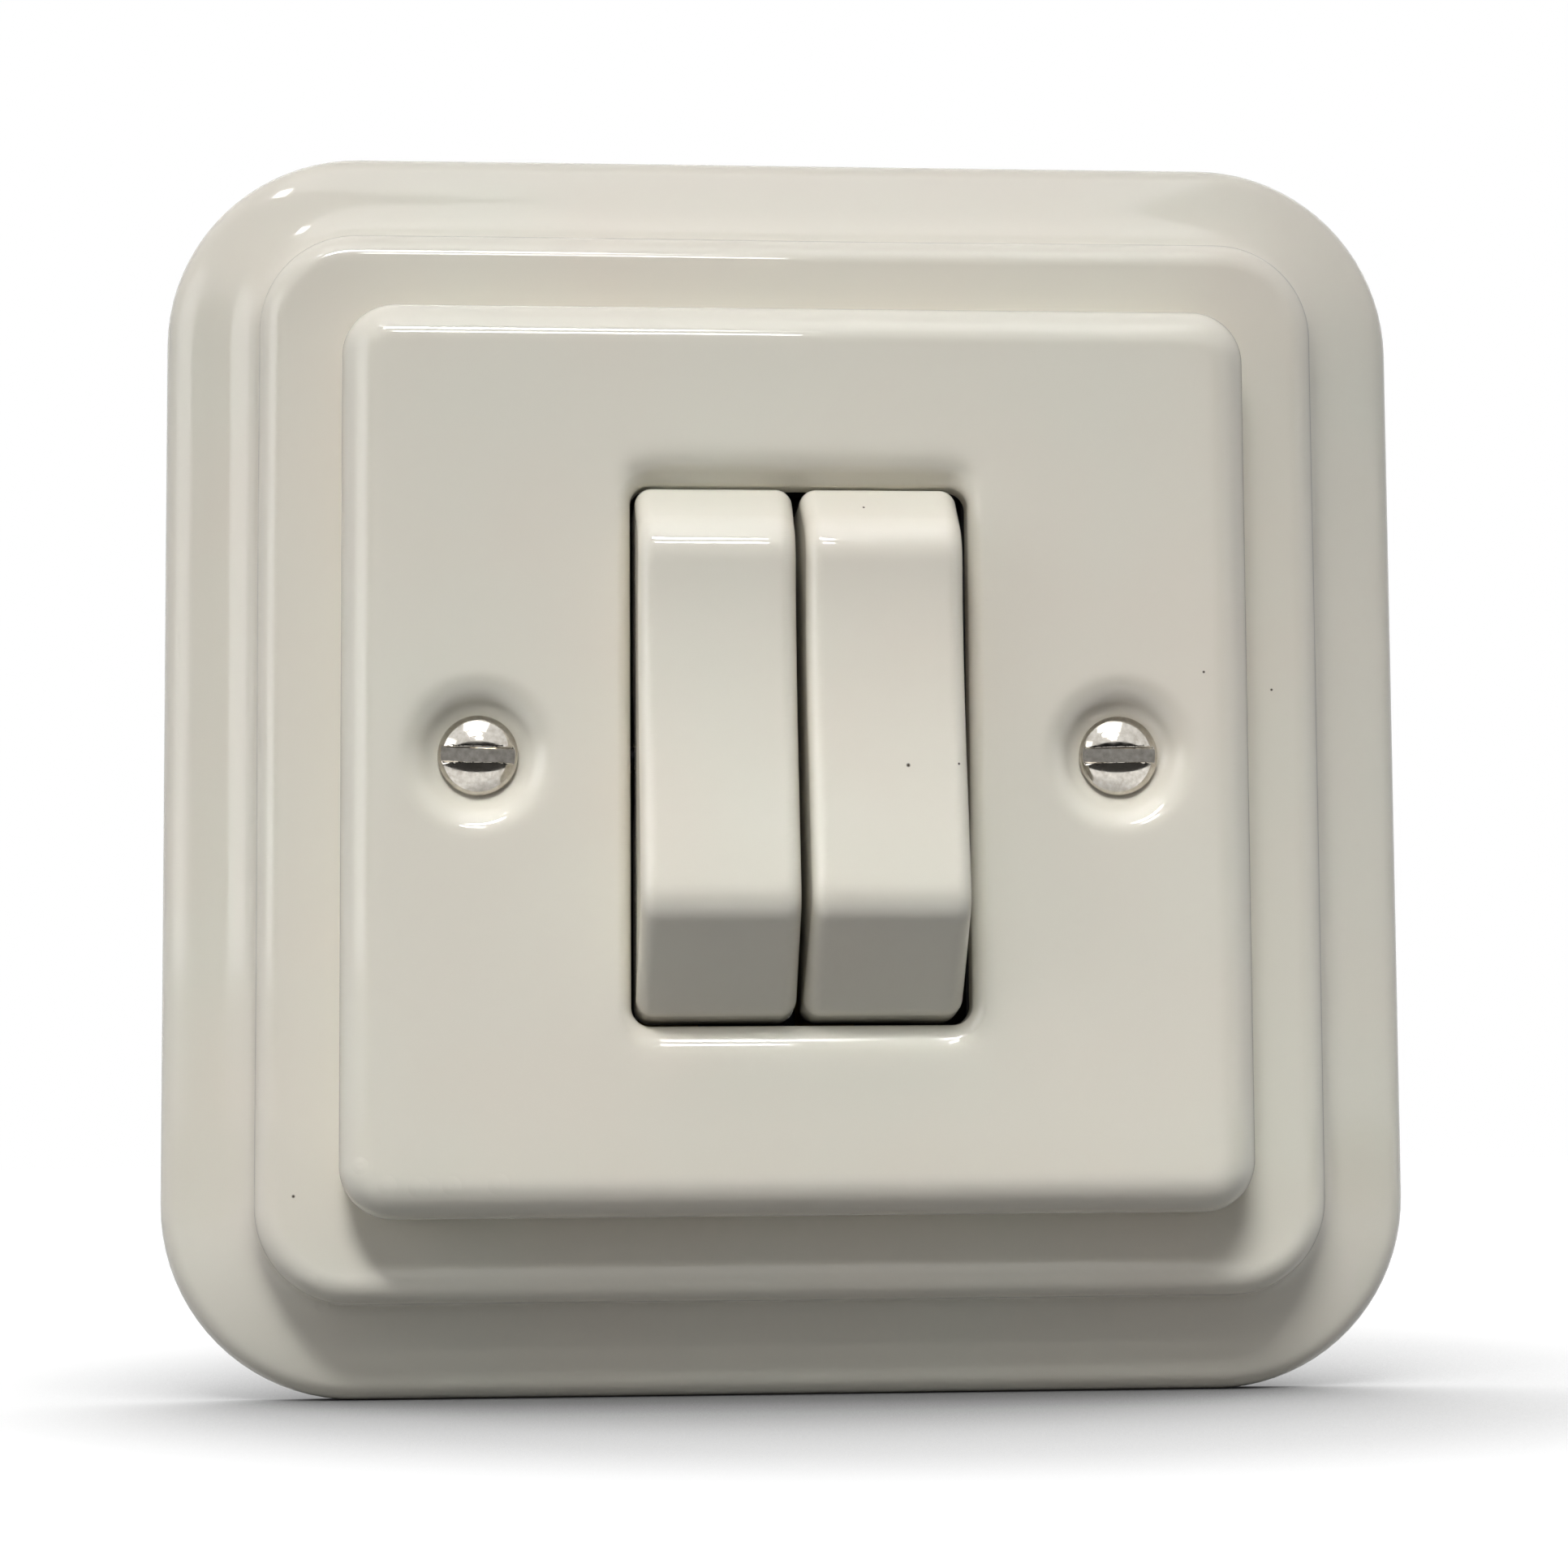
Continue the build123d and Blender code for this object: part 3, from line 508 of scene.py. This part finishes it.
def ceramicFaceplate(finish, tree):
    look = plateLook
    half = plateHalf
    ceiling = plateFront - look["frontWall"]
    flat = half - look["edgeRound"]
    steps = look["arcSteps"]
    edge = [(half, ledgeFront)]
    edge += arcPoints((flat, plateFront - look["edgeRound"]), look["edgeRound"], 0, 90, steps)
    rings = [(s, s, look["corner"] - (half - s), h, 0) for s, h in edge]
    lip = look["lipRound"]
    aperture = (look["apertureX"], look["apertureZ"], look["apertureCorner"])
    outer = tuple(size + lip for size in aperture)
    start = (flat, flat, look["corner"] - look["edgeRound"])
    for k in range(1, look["faceRings"]):
        share = k / look["faceRings"]
        rings.append(tuple(a + (b - a) * share for a, b in zip(start, outer)) + (plateFront, 0))
    for over, h in arcPoints((lip, plateFront - lip), lip, 90, 180, steps):
        rings.append(tuple(size + over for size in aperture) + (h, 0))
    inner = half - look["sideWall"]
    rings.append(aperture + (ceiling, 0))
    for s, corner, h in ((inner, look["hollowCorner"], ceiling), (inner, look["hollowCorner"], ledgeFront),
                         (half, look["corner"], ledgeFront)):
        rings.append((s, s, corner, h, 0))
    piece = mouldedPiece("ceramicFaceplate", rings, look, finish, tree)
    sagAperture(piece, look)

    fixings = [(-look["fixingX"], 0), (look["fixingX"], 0)]
    inserts = [(x * look["insertX"], z * look["insertZ"]) for x in (-1, 1) for z in (-1, 1)]
    bossTop = ceiling + look["bossOverlap"]
    screwBack = ceiling - look["screwBossDepth"]
    for places, radius, back in ((fixings, look["screwBossRadius"], screwBack),
                                 (inserts, look["insertBossRadius"], look["insertBack"])):
        boss = [(0, back), (radius, back), (radius, bossTop), (0, bossTop)]
        cut(piece, turnedMesh("boss", boss, places, look["bossSegments"]), "UNION")
    holeTop = look["insertBack"] + look["insertLength"]
    below = look["insertBack"] - look["toolOver"]
    above = plateFront + look["toolOver"]
    hole = [(0, below), (look["insertRadius"], below), (look["insertRadius"], holeTop), (0, holeTop)]
    cut(piece, turnedMesh("insertHole", hole, inserts, look["bossSegments"]), "DIFFERENCE")
    seatDrop = look["seatRadius"] - look["neckRadius"]
    dish = [(0, above), (look["dishRadius"], above)] + dishProfile(look)
    seat = dish[-1][1]
    dish += [(look["neckRadius"], seat - seatDrop), (look["neckRadius"], below), (0, below)]
    cut(piece, turnedMesh("dish", dish, fixings), "DIFFERENCE")
    paint(finishMesh(piece, look["sharpDeg"]), finish)
    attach(piece, "base")
    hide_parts("faceplate")


# Ceramic rockers: concave face, sloping ends, rounded sides with a little draft, hollow behind
rockerLook = dict(
    tilt=11.0, lean=4.0, width=14.95, gap=0.6, shift=-0.3, reach=25.1, ridgeHeight=14.25,
    upperRidge=18.7, upperRise=13.0, upperEnd=8.0, upperFoot=24.45, upperRound=5.0,
    lowerRidge=16.4, lowerRise=5.5, lowerEnd=3.3, lowerFoot=24.88, lowerRound=3.8,
    faceRun=10.0, footRound=2.5, edgeRound=1.6, skirt=3.0, skirtStop=1.5, draft=0.025, draftFrom=6.0,
    wall=2.6, sideWall=2.0, ceiling=10.2, hollowTop=16.4, pivotBehind=6.3, pinHole=1.55,
    faceSteps=40, endSteps=10, roundSteps=16, edgeSteps=8, widthSteps=10, hollowSteps=6, pinSteps=48,
    hollowOver=2.0, pinOver=1.0, sharpDeg=32,
)


def roundedCorner(before, corner, after, radius, steps):
    # The arc that rounds a corner between two straight runs
    corner = Vector(corner)
    ways = [(Vector(end) - corner).normalized() for end in (before, after)]
    half = ways[0].angle(ways[1]) / 2
    centre = corner + (ways[0] + ways[1]).normalized() * radius / math.sin(half)
    run = radius / math.tan(half)
    turns = [math.atan2(*(corner + way * run - centre).yx) for way in ways]
    sweep = (turns[1] - turns[0] + math.pi) % (2 * math.pi) - math.pi
    return arcPoints(centre, radius, math.degrees(turns[0]), math.degrees(turns[0] + sweep), steps)


def rockerOutline(look):
    # Side view in millimetres, from the upper skirt over the face to the lower one
    reach, run = look["reach"], look["faceRun"]
    skirtTurn = -math.degrees(math.asin(look["skirt"] / reach))
    skirt = arcPoints((0, 0), reach, skirtTurn, look["skirtStop"], look["endSteps"])
    ends, ways = [], []
    for side in ("upper", "lower"):
        rise = math.radians(look[side + "Rise"])
        foot = (look[side + "Foot"], look[side + "End"])
        corner = (look[side + "Ridge"], look["ridgeHeight"])
        inward = (corner[0] - math.cos(rise), corner[1] - math.sin(rise))
        footArc = roundedCorner(skirt[-1], foot, corner, look["footRound"], look["roundSteps"])
        ridgeArc = roundedCorner(foot, corner, inward, look[side + "Round"], look["roundSteps"])
        ends.append(skirt + footArc + ridgeArc)
        ways.append((run * math.cos(rise), run * math.sin(rise)))
    lower = [(-s, t) for s, t in reversed(ends[1])]
    leave, arrive = (-ways[0][0], -ways[0][1]), (-ways[1][0], ways[1][1])
    face = curvePoints(ends[0][-1], leave, lower[0], arrive, look["faceSteps"])
    return np.array(ends[0] + face[1:-1] + lower)


def insetOutline(outline, inset):
    # The same outline drawn in by a little, square to its own run
    along = np.gradient(outline, axis=0)
    along /= np.linalg.norm(along, axis=1)[:, None]
    return outline - inset * np.stack([along[:, 1], -along[:, 0]], 1)


def rockerPoint(look, lean, x, s, t):
    # From the rocker's pivot to the switch's frame; the cap leans on its carrier
    turn = math.radians(look["tilt"] - lean)
    pivot = plateFront - look["pivotBehind"]
    y = s * math.sin(turn) - t * math.cos(turn) - pivot
    z = s * math.cos(turn) + t * math.sin(turn)
    return (x * mm, y * mm, z * mm)


def slabMesh(name, look, outline, lowX, highX):
    # A flat outline in the rocker's side view, made as thick as the two x places say
    work = bmesh.new()
    sides = [[work.verts.new(rockerPoint(look, 0, x, s, t)) for s, t in outline] for x in (lowX, highX)]
    count = len(outline)
    for k in range(count):
        n = (k + 1) % count
        work.faces.new((sides[0][k], sides[0][n], sides[1][n], sides[1][k]))
    for side in sides:
        work.faces.new(side)
    bmesh.ops.recalc_face_normals(work, faces=work.faces)
    mesh = bpy.data.meshes.new(name)
    work.to_mesh(mesh)
    work.free()
    return link(bpy.data.objects.new(name, mesh))


def ceramicRocker(side, finish):
    look = rockerLook
    middle = (look["width"] + look["gap"]) / 2 * (-1 if side == "Left" else 1)
    edge = look["edgeRound"]
    half = look["width"] / 2
    stations = []
    for k in range(look["edgeSteps"] + 1):
        turn = math.pi / 2 * k / look["edgeSteps"]
        stations.append((half - edge + edge * math.cos(turn), edge - edge * math.sin(turn)))
    flat = half - edge
    across = [(flat - 2 * flat * k / look["widthSteps"], 0.0) for k in range(1, look["widthSteps"])]
    stations = stations + across + [(-x, inset) for x, inset in reversed(stations)]
    work = bmesh.new()
    loops = []
    outline = rockerOutline(look)
    for x, inset in stations:
        loop = []
        for s, t in insetOutline(outline, inset):
            narrow = look["draft"] * max(t - look["draftFrom"], 0) / half
            place = middle + look["shift"] + x * (1 - narrow)
            loop.append(work.verts.new(rockerPoint(look, look["lean"], place, s, t)))
        loops.append(loop)
    count = len(loops[0])
    for first, second in zip(loops, loops[1:]):
        for k in range(count):
            n = (k + 1) % count
            work.faces.new((first[k], first[n], second[n], second[k]))
    work.faces.new(loops[0])
    work.faces.new(loops[-1])
    bmesh.ops.recalc_face_normals(work, faces=work.faces)
    mesh = bpy.data.meshes.new("ceramicRocker" + side)
    work.to_mesh(mesh)
    work.free()
    piece = link(bpy.data.objects.new(mesh.name, mesh))

    inner = look["reach"] - look["wall"]
    below = -look["skirt"] - look["hollowOver"]
    low = math.degrees(math.asin(below / inner))
    right = arcPoints((0, 0), inner, low, 0, look["hollowSteps"]) + [(look["hollowTop"], look["ceiling"])]
    hollow = right + [(-a, b) for a, b in reversed(right)]
    reachX = half - look["sideWall"]
    cut(piece, slabMesh("hollow", look, hollow, middle - reachX, middle + reachX), "DIFFERENCE")
    pin = arcPoints((0, 0), look["pinHole"], 0, 360 - 360 / look["pinSteps"], look["pinSteps"] - 1)
    reachX = half + look["pinOver"]
    cut(piece, slabMesh("pinHole", look, pin, middle - reachX, middle + reachX), "DIFFERENCE")
    paint(finishMesh(piece, look["sharpDeg"]), finish)
    body = "rocker_" + side.lower()
    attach(piece, body)
    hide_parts(body)


# Fixing screws: slotted raised heads with a thin rim, a reduced neck and a fine thread
screwLook = dict(
    seatDepth=1.95, headRadius=3.75, rim=0.3, domeRise=1.45, domeSteps=24,
    slotWidth=1.4, slotDepth=1.2, slotTurn=1.5,
    bevel=0.16, bevelSegments=3, bevelFromDeg=40, neckRadius=1.5, neckEnd=13.5,
    threadRadius=1.75, threadDepth=0.3, threadOverlap=0.05, pitch=0.6, length=38.65, tip=0.6, tipShare=0.65,
    spacing=60.3, segments=64, threadSteps=8, seed=4, sharpDeg=30,
)


def screwMesh(look):
    seat = plateFront - look["seatDepth"]
    rimTop = seat + look["rim"]
    top = rimTop + look["domeRise"]
    dome = (look["headRadius"] ** 2 + look["domeRise"] ** 2) / (2 * look["domeRise"])
    sweep = math.degrees(math.asin(look["headRadius"] / dome))
    profile = [(0, top)]
    profile += arcPoints((0, top - dome), dome, 90, 90 - sweep, look["domeSteps"])[1:]
    profile += [(look["headRadius"], seat)]
    profile += [(look["neckRadius"], seat - look["headRadius"] + look["neckRadius"])]
    profile += [(look["neckRadius"], look["neckEnd"]), (0, look["neckEnd"])]
    head = turnedMesh("plateScrew", profile, [(0, 0)], look["segments"])
    slot = bmesh.new()
    size = (4 * look["headRadius"] * mm, 2 * look["slotDepth"] * mm, look["slotWidth"] * mm)
    bmesh.ops.create_cube(slot, size=1.0, matrix=Matrix.Diagonal((*size, 1)))
    bmesh.ops.translate(slot, verts=slot.verts, vec=(0, -top * mm, 0))
    mesh = bpy.data.meshes.new("slot")
    slot.to_mesh(mesh)
    slot.free()
    cut(head, link(bpy.data.objects.new("slot", mesh)), "DIFFERENCE")
    modifier = head.modifiers.new("worn edges", "BEVEL")
    modifier.width = look["bevel"] * mm
    modifier.segments = look["bevelSegments"]
    modifier.use_clamp_overlap = False
    modifier.limit_method = "ANGLE"
    modifier.angle_limit = math.radians(look["bevelFromDeg"])
    bake(head)

    # The thread is a tube whose radius rises and falls with the turn
    work = bmesh.new()
    work.from_mesh(head.data)
    end = top - look["length"]
    rows = int((look["neckEnd"] - end) / look["pitch"] * look["threadSteps"])
    around = look["segments"] // 2
    loops = []
    for row in range(rows + 1):
        height = look["neckEnd"] + look["threadOverlap"] - (look["neckEnd"] - end) * row / rows
        taper = min(1.0, (rows - row) / (rows * look["tip"] / (look["neckEnd"] - end)))
        ringVerts = []
        for k in range(around):
            turn = 2 * math.pi * k / around
            phase = (height / look["pitch"] + k / around) % 1.0
            depth = look["threadDepth"] * (1 - abs(2 * phase - 1))
            radius = (look["threadRadius"] - depth) * (look["tipShare"] + (1 - look["tipShare"]) * taper)
            place = (radius * math.cos(turn) * mm, -height * mm, radius * math.sin(turn) * mm)
            ringVerts.append(work.verts.new(place))
        loops.append(ringVerts)
    for first, second in zip(loops, loops[1:]):
        for k in range(around):
            n = (k + 1) % around
            work.faces.new((first[k], first[n], second[n], second[k]))
    work.faces.new(loops[0])
    work.faces.new(loops[-1])
    bmesh.ops.recalc_face_normals(work, faces=work.faces)
    work.to_mesh(head.data)
    work.free()
    return head


def screwPairTree(seed):
    # One screw set at each end of a line, each slot turned a little by chance
    tree = bpy.data.node_groups.new("screwPair", "GeometryNodeTree")
    sockets = [("Screw", "Geometry"), ("Spacing", "Float"), ("Slot Turn", "Float"), ("Finish", "Material")]
    for name, kind in sockets:
        tree.interface.new_socket(name, in_out="INPUT", socket_type="NodeSocket" + kind)
    tree.interface.new_socket("Screws", in_out="OUTPUT", socket_type="NodeSocketGeometry")
    given = addNode(tree, "NodeGroupInput").outputs
    start = addNode(tree, "ShaderNodeMath", {0: given["Spacing"], 1: -0.5}, operation="MULTIPLY").outputs[0]
    line = addNode(tree, "GeometryNodeMeshLine", {
        "Count": 2, "Start Location": addNode(tree, "ShaderNodeCombineXYZ", {"X": start}).outputs[0],
        "Offset": addNode(tree, "ShaderNodeCombineXYZ", {"X": given["Spacing"]}).outputs[0],
    })
    back = addNode(tree, "ShaderNodeMath", {0: given["Slot Turn"], 1: -1.0}, operation="MULTIPLY").outputs[0]
    turn = addNode(tree, "FunctionNodeRandomValue", {2: back, 3: given["Slot Turn"], "Seed": seed}).outputs[1]
    placed = addNode(tree, "GeometryNodeInstanceOnPoints", {
        "Points": line.outputs["Mesh"], "Instance": given["Screw"],
        "Rotation": addNode(tree, "ShaderNodeCombineXYZ", {"Y": turn}).outputs[0],
    })
    real = addNode(tree, "GeometryNodeRealizeInstances", {"Geometry": placed.outputs["Instances"]})
    painted = addNode(tree, "GeometryNodeSetMaterial", {
        "Geometry": real.outputs["Geometry"], "Material": given["Finish"],
    })
    addNode(tree, "NodeGroupOutput", {"Screws": painted.outputs["Geometry"]})
    return tree


def nickelPlateScrews(finish):
    look = screwLook
    piece = screwMesh(look)
    piece.name = "nickelPlateScrews"
    modifier = piece.modifiers.new("pair", "NODES")
    modifier.node_group = screwPairTree(look["seed"])
    setInput(modifier, "Spacing", look["spacing"] * mm)
    setInput(modifier, "Slot Turn", math.radians(look["slotTurn"]))
    setInput(modifier, "Finish", finish)
    finishMesh(bake(piece), look["sharpDeg"])
    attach(piece, "base")
    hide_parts("plate_screws")


# Specks and glaze beads, each (x, z, radius) in millimetres, and then the pieces
frameSpecks = [(38.1, 7.8, 0.16), (46.3, 7.0, 0.16), (-47.4, -40.9, 0.2)]
glazeBeads = [(-40.9, -37.9, 0.8), (-38.4, -39.7, 0.9), (-35.5, -39.9, 1.0), (-32.5, -39.8, 0.9),
              (-28.2, -39.7, 1.0), (17.7, 15.1, 0.7), (-45.9, -48.8, 0.8), (-45.0, -51.4, 0.7)]
rockerSpecks = [(9.2, -1.65, 0.24), (13.9, -1.5, 0.15), (5.8, 23.0, 0.14)]
glaze = glazedPorcelain("glazedPorcelain", frameSpecks, glazeBeads)
rockerGlaze = glazedPorcelain("glazedPorcelainRocker", rockerSpecks, [])
rings = mouldedRingsTree()
ceramicSurround(glaze, rings)
ceramicFaceplate(glaze, rings)
print("surround and faceplate made")
for side in ("Left", "Right"):
    ceramicRocker(side, rockerGlaze)
nickelPlateScrews(grainedFinish(nickelLook))
print("rockers and screws made")

finishes = {slotName: grainedFinish(look) for slotName, look in innerLooks.items()}
for entry in frame["record"]["subparts"]:
    node = frame["nodes"][entry["node"]]
    if entry["material_slot"] in finishes:
        paint(node, finishes[entry["material_slot"]])
print("inner pieces finished")

# Floor and backdrop: white to the eye, dim to the light they would throw back, and the floor carries a
# painted shadow round the object's foot
stageLook = dict(
    white="FFFFFF", tone="606060", dim="808080", glow=0.99,
    shadowReach=0.13, shadowDepth=1.75, shadowSamples=8,
    ovalMiddle=(0.012, 0.015, -0.0608), ovalReach=(0.112, 0.118, 1.0), ovalStart=0.6,
    black="000000", room=0.20, backdropAway=0.9, size=6.0,
    card="1A1816", cardWide=1.5, cardNear=0.12, cardFar=1.4, cardHigh=0.8,
)


def stagePlane(name, corners, finish):
    mesh = bpy.data.meshes.new(name)
    mesh.from_pydata(corners, [], [(0, 1, 2, 3)])
    obj = link(bpy.data.objects.new(name, mesh))
    mesh.materials.append(finish)
    return obj


def seenRays(tree):
    # One for the rays of the eye, of mirrors and of glass, nothing for light that is thrown back
    path = addNode(tree, "ShaderNodeLightPath").outputs
    seen = path["Is Camera Ray"]
    for name in ("Is Glossy Ray", "Is Transmission Ray"):
        seen = addNode(tree, "ShaderNodeMath", {0: seen, 1: path[name]}, operation="MAXIMUM").outputs[0]
    return seen


def floorFinish():
    # To the eye the floor glows white; a painted shadow, taken from ambient occlusion, dims the glow where
    # the object stands close over it
    look = stageLook
    finish, tree, shader, place = newFinish("whiteFloor", Roughness=0.9, **{"Specular IOR Level": 0.0})
    seen = seenRays(tree)
    colour = addNode(tree, "ShaderNodeMix", {0: seen, 6: linear(look["dim"]), 7: linear(look["tone"])},
                     data_type="RGBA").outputs[2]
    tree.links.new(colour, shader.inputs["Base Color"])
    # Painted shadow: ambient occlusion near the object sets how far the floor's glow is dimmed
    free = addNode(tree, "ShaderNodeAmbientOcclusion", {"Distance": look["shadowReach"]},
                   samples=look["shadowSamples"]).outputs["AO"]
    free = addNode(tree, "ShaderNodeMath", {0: free, 1: look["shadowDepth"]}, operation="POWER").outputs[0]
    # The painted shadow fades out in an oval round the object's foot
    away = place
    for operation, oval in (("SUBTRACT", look["ovalMiddle"]), ("DIVIDE", look["ovalReach"])):
        away = addNode(tree, "ShaderNodeVectorMath", {0: away, 1: oval}, operation=operation).outputs[0]
    away = addNode(tree, "ShaderNodeVectorMath", {0: away}, operation="LENGTH").outputs["Value"]
    kept = addNode(tree, "ShaderNodeMapRange", {
        "Value": away, "From Min": look["ovalStart"], "From Max": 1.0, "To Min": 1.0, "To Max": 0.0,
    }, interpolation_type="SMOOTHSTEP").outputs["Result"]
    shade = addNode(tree, "ShaderNodeMath", {0: 1.0, 1: free}, operation="SUBTRACT").outputs[0]
    shade = addNode(tree, "ShaderNodeMath", {0: shade, 1: kept}, operation="MULTIPLY").outputs[0]
    free = addNode(tree, "ShaderNodeMath", {0: 1.0, 1: shade}, operation="SUBTRACT").outputs[0]
    shader.inputs["Emission Color"].default_value = linear(look["white"])
    glow = addNode(tree, "ShaderNodeMath", {0: seen, 1: look["glow"]}, operation="MULTIPLY").outputs[0]
    glow = addNode(tree, "ShaderNodeMath", {0: glow, 1: free}, operation="MULTIPLY").outputs[0]
    tree.links.new(glow, shader.inputs["Emission Strength"])
    return finish


def backdropFinish():
    look = stageLook
    finish, tree, shader, place = newFinish("whiteBackdrop", Roughness=1.0, **{"Specular IOR Level": 0.0})
    shader.inputs["Base Color"].default_value = linear(look["black"])
    shader.inputs["Emission Color"].default_value = linear(look["white"])
    glow = addNode(tree, "ShaderNodeMapRange", {
        "Value": seenRays(tree), "To Min": look["room"], "To Max": 1.0,
    })
    tree.links.new(glow.outputs["Result"], shader.inputs["Emission Strength"])
    return finish


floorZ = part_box("surround")[0].z
wide = stageLook["size"] / 2
away = stageLook["backdropAway"]
floor = [(-wide, -wide, floorZ), (wide, -wide, floorZ), (wide, away, floorZ), (-wide, away, floorZ)]
backdrop = [(-wide, away, floorZ), (wide, away, floorZ), (wide, away, wide), (-wide, away, wide)]
stagePlane("floor", floor, floorFinish())
stagePlane("backdrop", backdrop, backdropFinish())

# Black cards lie on the floor before the picture and stand in front, for mirrors only: they give the screws
# their dark band
cardFinish = newFinish("blackCard", Roughness=1.0, **{"Base Color": linear(stageLook["card"])})[0]
side, near, far = stageLook["cardWide"], -stageLook["cardNear"], -stageLook["cardFar"]
low, high = floorZ + mm, stageLook["cardHigh"]
cards = {
    "floorCard": [(-side, far, low), (side, far, low), (side, near, low), (-side, near, low)],
    "frontCard": [(-side, far, low), (-side, far, high), (side, far, high), (side, far, low)],
}
for name, corners in cards.items():
    card = stagePlane(name, corners, cardFinish)
    card.visible_camera = card.visible_diffuse = card.visible_shadow = False

# Soft light: a panel in front whose beam falls off to the top, two small windows for the bright edge lines,
# a pale ceiling, and broad weak light from the left and from the front
plateMiddle = (0, -0.01, 0)
lampLooks = [
    dict(name="highPanel", azimuth=-5, elevation=45, away=0.8, aim=(0.08, -0.01, -0.20),
         size=(0.40, 0.07), spread=34, power=0.33),
    dict(name="window", azimuth=-1.2, elevation=36, away=0.7, aim=plateMiddle,
         size=(0.13, 0.04), spread=180, power=0.38),
    dict(name="sideWindow", azimuth=-37, elevation=52, away=0.8, aim=plateMiddle,
         size=(0.06, 0.05), spread=180, power=0.14),
    dict(name="ceiling", azimuth=-12, elevation=66, away=1.0, aim=plateMiddle,
         size=(0.7, 0.5), spread=180, power=1.9),
    dict(name="leftWall", azimuth=-65, elevation=16, away=0.9, aim=plateMiddle,
         size=(0.5, 0.5), spread=180, power=1.35),
    dict(name="frontRoom", azimuth=-3, elevation=4, away=1.1, aim=plateMiddle,
         size=(0.9, 0.4), spread=180, power=0.36),
]


def wayTo(look):
    # The direction from the object to a lamp or the camera, from its azimuth and elevation
    turn, rise = math.radians(look["azimuth"]), math.radians(look["elevation"])
    return Vector((math.sin(turn) * math.cos(rise), -math.cos(turn) * math.cos(rise), math.sin(rise)))


for look in lampLooks:
    lamp = bpy.data.lights.new(look["name"], "AREA")
    lamp.shape = "RECTANGLE"
    lamp.size, lamp.size_y = look["size"]
    lamp.energy = look["power"]
    lamp.spread = math.radians(look["spread"])
    obj = link(bpy.data.objects.new(look["name"], lamp))
    obj.location = wayTo(look) * look["away"]
    obj.rotation_mode = "QUATERNION"
    obj.rotation_quaternion = (Vector(look["aim"]) - obj.location).to_track_quat("-Z", "Y")

# The room is dim for the light that it throws, and white to the eye and in mirrors
world = bpy.data.worlds.new("dimRoom")
world.use_nodes = True
room = world.node_tree.nodes["Background"]
room.inputs["Color"].default_value = linear(stageLook["white"])
strength = addNode(world.node_tree, "ShaderNodeMapRange", {
    "Value": seenRays(world.node_tree), "To Min": stageLook["room"], "To Max": 1.0,
})
world.node_tree.links.new(strength.outputs["Result"], room.inputs["Strength"])
bpy.context.scene.world = world

# Camera: a little left of the middle and below it, as the photograph was taken
cameraLook = dict(
    azimuth=-4.435, elevation=-4.70, roll=-0.363, distance=0.35127, aim=(-0.00007, 0, -0.00108),
    lens=81.27, sensor=36.0, clipStart=0.01,
)
roll = math.radians(cameraLook["roll"])
back = wayTo(cameraLook)
right = Vector((0, 0, 1)).cross(back).normalized()
upward = back.cross(right)
rightRolled = right * math.cos(roll) + upward * math.sin(roll)
upRolled = upward * math.cos(roll) - right * math.sin(roll)
camera = link(bpy.data.objects.new("camera", bpy.data.cameras.new("camera")))
stand = Matrix.Translation(Vector(cameraLook["aim"]) + back * cameraLook["distance"])
camera.matrix_world = stand @ Matrix((rightRolled, upRolled, back)).transposed().to_4x4()
camera.data.sensor_width = cameraLook["sensor"]
camera.data.lens = cameraLook["lens"]
camera.data.clip_start = cameraLook["clipStart"]
bpy.context.scene.camera = camera
bpy.context.scene.view_settings.view_transform = "Standard"
print("stage, lamps and camera set")
